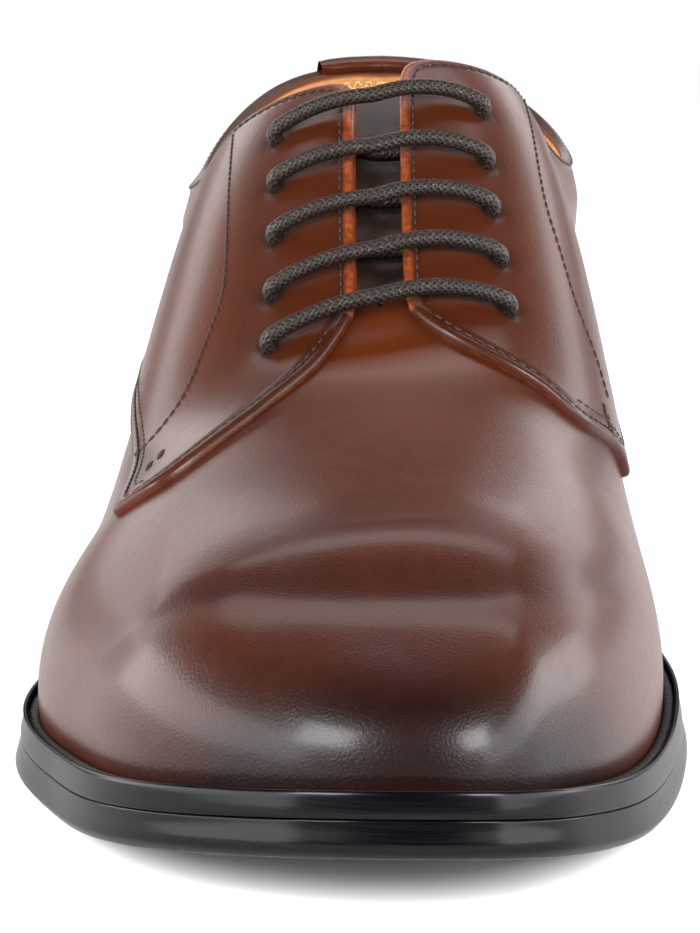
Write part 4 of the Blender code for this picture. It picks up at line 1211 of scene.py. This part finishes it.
def makeHeelPart(name, levels, seat, material):
    rings = [lifted(heelRing(height, away), height * mm) for height, away in levels]
    under = treadHeight(shareOf(heelRing(heelTop, heel["seat"][-1][0])))
    rings += [lifted(heelRing(heelTop, away), under - drop * mm) for away, drop in seat]
    count = len(rings[0])
    faces = [tuple(f) for f in grid(len(rings), count, closed=True)]
    faces += [tuple(range(count)), tuple(range((len(rings) - 1) * count, len(rings) * count))]
    piece = newPiece(name, np.concatenate(rings), faces, material)
    for polygon in piece.data.polygons:
        if abs(polygon.normal.z) > 0.9:
            polygon.use_smooth = False
    return piece


insole = {
    "stations": 200,
    # millimetres in and over the outsole
    "profile": ((0.4, 0.05), (0.3, 0.2), (0.3, 2.6), (0.45, 2.85), (0.9, 2.95), (8.0, 2.95)),
}


def makeInsole():
    angle, side = walkRound(insole["stations"])
    rings = []
    for away, rise in insole["profile"]:
        flat = featherline(angle, side) - outward(angle, side) * away * mm
        rings.append(lifted(flat, treadHeight(shareOf(flat)) + last["outsole"] + last["gap"] + rise * mm))
    points = np.concatenate(rings)
    return newPiece("sockLining", points, closedRings(rings), tanLining, {"binding": np.zeros(len(points))})


shapes = {
    "quarters": makeQuarters(),
    "backStrap": makeBackStrap(),
    "vamp": makeVamp(),
    "lining": makeInside(),
    "tongue": makeTongue(),
    "laces": makeLaces(),
    "outsole": makeOutsole(),
    "welt": makeWelt(),
    "insole": makeInsole(),
    "heel": makeHeelPart("heelLifts", heel["lifts"], heel["seat"], blackEdge),
    "topPiece": makeHeelPart("heelTopPiece", heel["topPiece"], (), blackRubber),
}
print("leather, laces and sole made")

# Stitches are laid along lines by one tree of nodes.
stitchInputs = {"pitch": "Pitch", "length": "Stitch length", "width": "Stitch width", "slant": "Slant",
                "jitter": "Jitter"}
stitches = {
    "edgeStitches": {"pitch": 2.1 * mm, "length": 1.75 * mm, "width": 0.50 * mm},
    "facingStitches": {"pitch": 1.9 * mm, "length": 1.8 * mm, "width": 0.55 * mm},
    "barTacks": {"pitch": 1.6 * mm, "length": 1.9 * mm, "width": 0.6 * mm},
    "weltStitches": {"pitch": 1.55 * mm, "length": 2.5 * mm, "width": 1.25 * mm, "slant": 0.95},
    "collarZigzag": {"pitch": 1.0 * mm, "length": 1.2 * mm, "width": 0.42 * mm},
}


def makeStitchTree():
    tree = bpy.data.node_groups.new("stitchRow", "GeometryNodeTree")
    face = tree.interface
    face.new_socket("Line", in_out="INPUT", socket_type="NodeSocketGeometry")
    defaults = {"Pitch": 2.4 * mm, "Stitch length": 1.9 * mm, "Stitch width": 0.55 * mm, "Slant": 0.0,
                "Jitter": 0.05}
    for name, value in defaults.items():
        face.new_socket(name, in_out="INPUT", socket_type="NodeSocketFloat").default_value = value
    face.new_socket("Thread", in_out="INPUT", socket_type="NodeSocketMaterial")
    face.new_socket("Stitches", in_out="OUTPUT", socket_type="NodeSocketGeometry")

    def add(kind, settings=None, inputs=None):
        node = tree.nodes.new(kind)
        for key, value in (settings or {}).items():
            setattr(node, key, value)
        for key, value in (inputs or {}).items():
            if isinstance(value, bpy.types.NodeSocket):
                tree.links.new(value, node.inputs[key])
            else:
                node.inputs[key].default_value = value
        return node.outputs

    given = add("NodeGroupInput")
    line = add("GeometryNodeMeshToCurve", inputs={0: given["Line"]})[0]
    places = add("GeometryNodeResampleCurve", {"mode": "LENGTH"},
                 {"Curve": line, "Length": given["Pitch"]})[0]
    ball = add("GeometryNodeMeshUVSphere", inputs={"Segments": 8, "Rings": 6, "Radius": 0.5})[0]
    tangent = add("GeometryNodeInputTangent")[0]
    up = add("GeometryNodeInputNamedAttribute", {"data_type": "FLOAT_VECTOR"}, {"Name": "up"})["Attribute"]
    along = add("FunctionNodeAlignRotationToVector", {"axis": "X"}, {"Vector": tangent})[0]
    upright = add("FunctionNodeAlignRotationToVector", {"axis": "Z", "pivot_axis": "X"},
                  {"Rotation": along, "Vector": up})[0]
    random = add("FunctionNodeRandomValue", inputs={"Seed": 7, 2: -1.0, 3: 1.0})[1]
    sway = add("ShaderNodeMath", {"operation": "MULTIPLY_ADD"},
               {0: random, 1: given["Jitter"], 2: given["Slant"]})[0]
    angles = add("ShaderNodeCombineXYZ", inputs={2: sway})[0]
    lean = add("FunctionNodeEulerToRotation", inputs={0: angles})[0]
    turned = add("FunctionNodeRotateRotation", {"rotation_space": "LOCAL"}, {0: upright, 1: lean})[0]
    width = given["Stitch width"]
    size = add("ShaderNodeCombineXYZ", inputs={0: given["Stitch length"], 1: width, 2: width})[0]
    laid = add("GeometryNodeInstanceOnPoints",
               inputs={"Points": places, "Instance": ball, "Rotation": turned, "Scale": size})[0]
    solid = add("GeometryNodeRealizeInstances", inputs={0: laid})[0]
    painted = add("GeometryNodeSetMaterial", inputs={"Geometry": solid, "Material": given["Thread"]})[0]
    add("NodeGroupOutput", inputs={0: painted})
    return tree


stitchTree = makeStitchTree()


def stitchRow(name, lines, thread):  # each line is its points and the way up at each of them
    mesh = bpy.data.meshes.new(name + "Line")
    points, edges, ups = [], [], []
    for line, up in lines:
        first = len(points)
        points += [tuple(p) for p in line + shift]
        ups += [tuple(u) for u in up]
        edges += [(first + i, first + i + 1) for i in range(len(line) - 1)]
    mesh.from_pydata(points, edges, [])
    upMark = mesh.attributes.new("up", "FLOAT_VECTOR", "POINT")
    upMark.data.foreach_set("vector", np.array(ups, np.float32).ravel())
    carrier = bpy.data.objects.new(name + "Line", mesh)
    bpy.context.scene.collection.objects.link(carrier)
    modifier = carrier.modifiers.new("stitches", "NODES")
    modifier.node_group = stitchTree
    items = stitchTree.interface.items_tree
    sockets = {item.name: item.identifier for item in items if item.in_out == "INPUT"}
    modifier[sockets["Thread"]] = thread
    for key, value in stitches[name].items():
        modifier[sockets[stitchInputs[key]]] = value
    bpy.context.view_layer.update()
    graph = bpy.context.evaluated_depsgraph_get()
    made = bpy.data.meshes.new_from_object(carrier.evaluated_get(graph))
    bpy.data.objects.remove(carrier)
    made.name = name
    made.polygons.foreach_set("use_smooth", [True] * len(made.polygons))
    piece = bpy.data.objects.new(name, made)
    bpy.context.scene.collection.objects.link(piece)
    return piece


def onLeather(angle, girth, side, lift):
    point = skin(angle, side, girth, lift)
    up = skin(angle, side, girth, lift + 1 * mm) - point
    return point, up / np.linalg.norm(up, axis=1, keepdims=True)


def trimmed(line, start, end):
    count = len(line[0])
    kept = slice(int(count * start), int(count * end))
    return line[0][kept], line[1][kept]


def edgeStitches():
    rows = []
    sunk = 0.08 * mm
    for side in (lateral, medial):
        lower, upper = outlines[side]
        line = inset(trimmed(lower, 0.02, 1), side, quarter["stitchIn"], lowerInward)
        rows.append(onLeather(*line, side, outerLift - sunk))
        line = trimmed(upper, 0.02, 1)
        nearer = softStep(0.585, 0.63, shareAt(line[0]))
        away = quarter["stitchIn"] - (quarter["stitchIn"] - quarter["collarStitchIn"]) * nearer
        line = inset(line, side, away, upperInward)
        lift = outerLift * thinned(shareAt(line[0]), quarter["stitchIn"]) - sunk
        rows.append(onLeather(*line, side, lift))
        second = inset(lower, side, quarter["secondRowIn"], lowerInward)
        tip = np.argmin(shareAt(lower[0]) + (lower[1] > 0.6))
        rows.append(onLeather(second[0][tip + 4:], second[1][tip + 4:], side, outerLift))
    return rows


facingLines = {  # foot and girth, down from the collar to the bar tack
    lateral: ((0.592, 0.710), (0.552, 0.713), (0.511, 0.714), (0.452, 0.713), (0.425, 0.694),
              (0.403, 0.659), (0.377, 0.615), (0.363, 0.543), (0.366, 0.505)),
    medial: ((0.612, 0.690), (0.560, 0.680), (0.509, 0.658), (0.485, 0.620), (0.462, 0.574),
             (0.452, 0.525), (0.444, 0.486), (0.436, 0.462)),
}


def facingStitches():
    rows = []
    fine = np.linspace(0, 1, 160)
    for side, table in facingLines.items():
        way = np.linspace(0, 1, len(table))
        foot = np.array([row[0] for row in table])
        girth = np.array([row[1] for row in table])
        angle = curve(list(zip(way, angleAt(foot))), 1)(fine)
        rows.append(onLeather(angle, curve(list(zip(way, girth)), 1)(fine), side, outerLift + 0.02 * mm))
    return rows


barTackPlaces = ((lateral, 0.313, 0.578), (medial, 0.406, 0.474))  # side, foot, girth


def barTacks():
    rows = []
    for side, foot, girth in barTackPlaces:
        for step in (-0.0025, 0.0025):
            angle = angleAt(foot + step + np.linspace(-0.003, 0.003, 5))
            reach = girth + np.linspace(-0.012, 0.012, 5)
            rows.append(onLeather(angle, reach, side, outerLift + 0.05 * mm))
    return rows


def weltStitches():
    angle, side = walkRound(500)
    reach = np.linalg.norm(soleEdge(angle, side) - featherline(angle, side), axis=-1)
    away = reach + (weltWall(angle, side) - reach) * welt["stitchAt"]
    flat = featherline(angle, side) + outward(angle, side) * away[:, None]
    line = lifted(flat, treadHeight(shareOf(flat)) + last["outsole"] + last["gap"] + welt["stitchRise"])
    line = np.concatenate([line, line[:1]])
    return [(line, np.tile([0.0, 0.0, 1.0], (len(line), 1)))]


def collarZigzag():
    rows = []
    for side in (lateral, medial):
        upper = trimmed(outlines[side][1], 0.32, 1)
        away = (3.5 + 0.7 * np.sign(np.sin(np.arange(len(upper[0])) * 1.6))) * mm
        rows.append(onLeather(*inset(upper, side, away, upperInward), side, 0.15 * mm))
    return rows


dressing = {
    "edgeStitches": (stitchRow("edgeStitches", edgeStitches(), brownThread), "brown_leather"),
    "facingStitches": (stitchRow("facingStitches", facingStitches(), brownThread), "brown_leather"),
    "barTacks": (stitchRow("barTacks", barTacks(), brownThread), "brown_leather"),
    "weltStitches": (stitchRow("weltStitches", weltStitches(), blackThread), "black_edge"),
    "collarZigzag": (stitchRow("collarZigzag", collarZigzag(), tanThread), "tan_lining"),
}
print("stitches laid")

dressed = {  # the node that each shape takes the place of, and its slot
    "quarters": ("upper", "brown_leather"),
    "backStrap": ("upper", "brown_leather"),
    "vamp": ("upper", "brown_leather"),
    "lining": ("upper", "tan_lining"),
    "tongue": ("tongue", "tongue_leather"),
    "laces": ("laces", "waxed_cord"),
    "outsole": ("outsole", "black_edge"),
    "welt": ("welt", "black_edge"),
    "insole": ("insole", "tan_lining"),
    "heel": ("heel_stack", "black_edge"),
    "topPiece": ("heel_top_piece", "black_rubber"),
}
for key, (node, slot) in dressed.items():
    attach(shapes[key], "root")
    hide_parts(node)
for piece, slot in dressing.values():
    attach(piece, "root")


studio = {
    "floor": (0.90, 0.90, 0.905),
    "floorHalf": 9,
    "world": 0.08,
    "air": (0.93, 0.95, 1.0, 1),
    # name, place and size in metres, brightness beside the white of the floor, aimed at
    "lights": (
        ("leftPanel", (-1.0, -0.10, 0.28), (1.9, 0.44), 9.5, (0, 0.0, 0.05)),
        ("rightPanel", (1.0, -0.10, 0.28), (1.9, 0.44), 9.5, (0, 0.0, 0.05)),
        ("topPanel", (0.0, 0.62, 1.05), (1.4, 0.30), 5.0, (0, -0.1, 0.05)),
        ("leftFront", (-0.60, -0.85, 0.52), (0.36, 0.36), 40.0, (0, -0.1, 0.04)),
        ("rightFront", (0.62, -0.85, 0.52), (0.38, 0.36), 40.0, (0, -0.1, 0.04)),
        ("farFloor", (0.0, 5.2, 1.35), (9.0, 5.0), 4.0, (0, 5.2, 0)),
    ),
}


def makeStudio():
    scene = bpy.context.scene
    world = bpy.data.worlds.new("studioAir")
    world.use_nodes = True
    air = world.node_tree.nodes["Background"]
    air.inputs[0].default_value = studio["air"]
    air.inputs[1].default_value = studio["world"]
    scene.world = world
    mesh = bpy.data.meshes.new("floor")
    half = studio["floorHalf"]
    corners = [(-half, -half, 0), (half, -half, 0), (half, half, 0), (-half, half, 0)]
    mesh.from_pydata(corners, [], [(0, 1, 2, 3)])
    mesh.materials.append(Finish("palePaper", studio["floor"], Roughness=0.9).material)
    floor = bpy.data.objects.new("floor", mesh)
    scene.collection.objects.link(floor)
    for name, place, (width, height), brightness, target in studio["lights"]:
        lamp = bpy.data.lights.new(name, "AREA")
        lamp.shape = "RECTANGLE"
        lamp.size = width
        lamp.size_y = height
        lamp.energy = brightness * math.pi * width * height
        holder = bpy.data.objects.new(name, lamp)
        holder.location = place
        holder.rotation_mode = "QUATERNION"
        holder.rotation_quaternion = (Vector(target) - Vector(place)).to_track_quat("-Z", "Y")
        scene.collection.objects.link(holder)
    scene.view_settings.view_transform = "Standard"


view = {
    "place": (0.0083, -0.5695, 0.1476),  # beside the last, in metres
    "yaw": -1.24,
    "pitch": 10.99,
    "lens": 3170 / 933 * 36,
}


def makeCamera():
    camera = bpy.data.objects.new("camera", bpy.data.cameras.new("camera"))
    bpy.context.scene.collection.objects.link(camera)
    camera.location = Vector(np.array(view["place"]) + shift)
    yaw, pitch = math.radians(view["yaw"]), math.radians(view["pitch"])
    ahead = Vector((math.sin(yaw) * math.cos(pitch), math.cos(yaw) * math.cos(pitch), -math.sin(pitch)))
    camera.rotation_mode = "QUATERNION"
    camera.rotation_quaternion = ahead.to_track_quat("-Z", "Y")
    camera.data.lens = view["lens"]
    camera.data.clip_start = 0.01
    camera.data.clip_end = 50
    bpy.context.scene.camera = camera


makeStudio()
makeCamera()
print("studio ready")
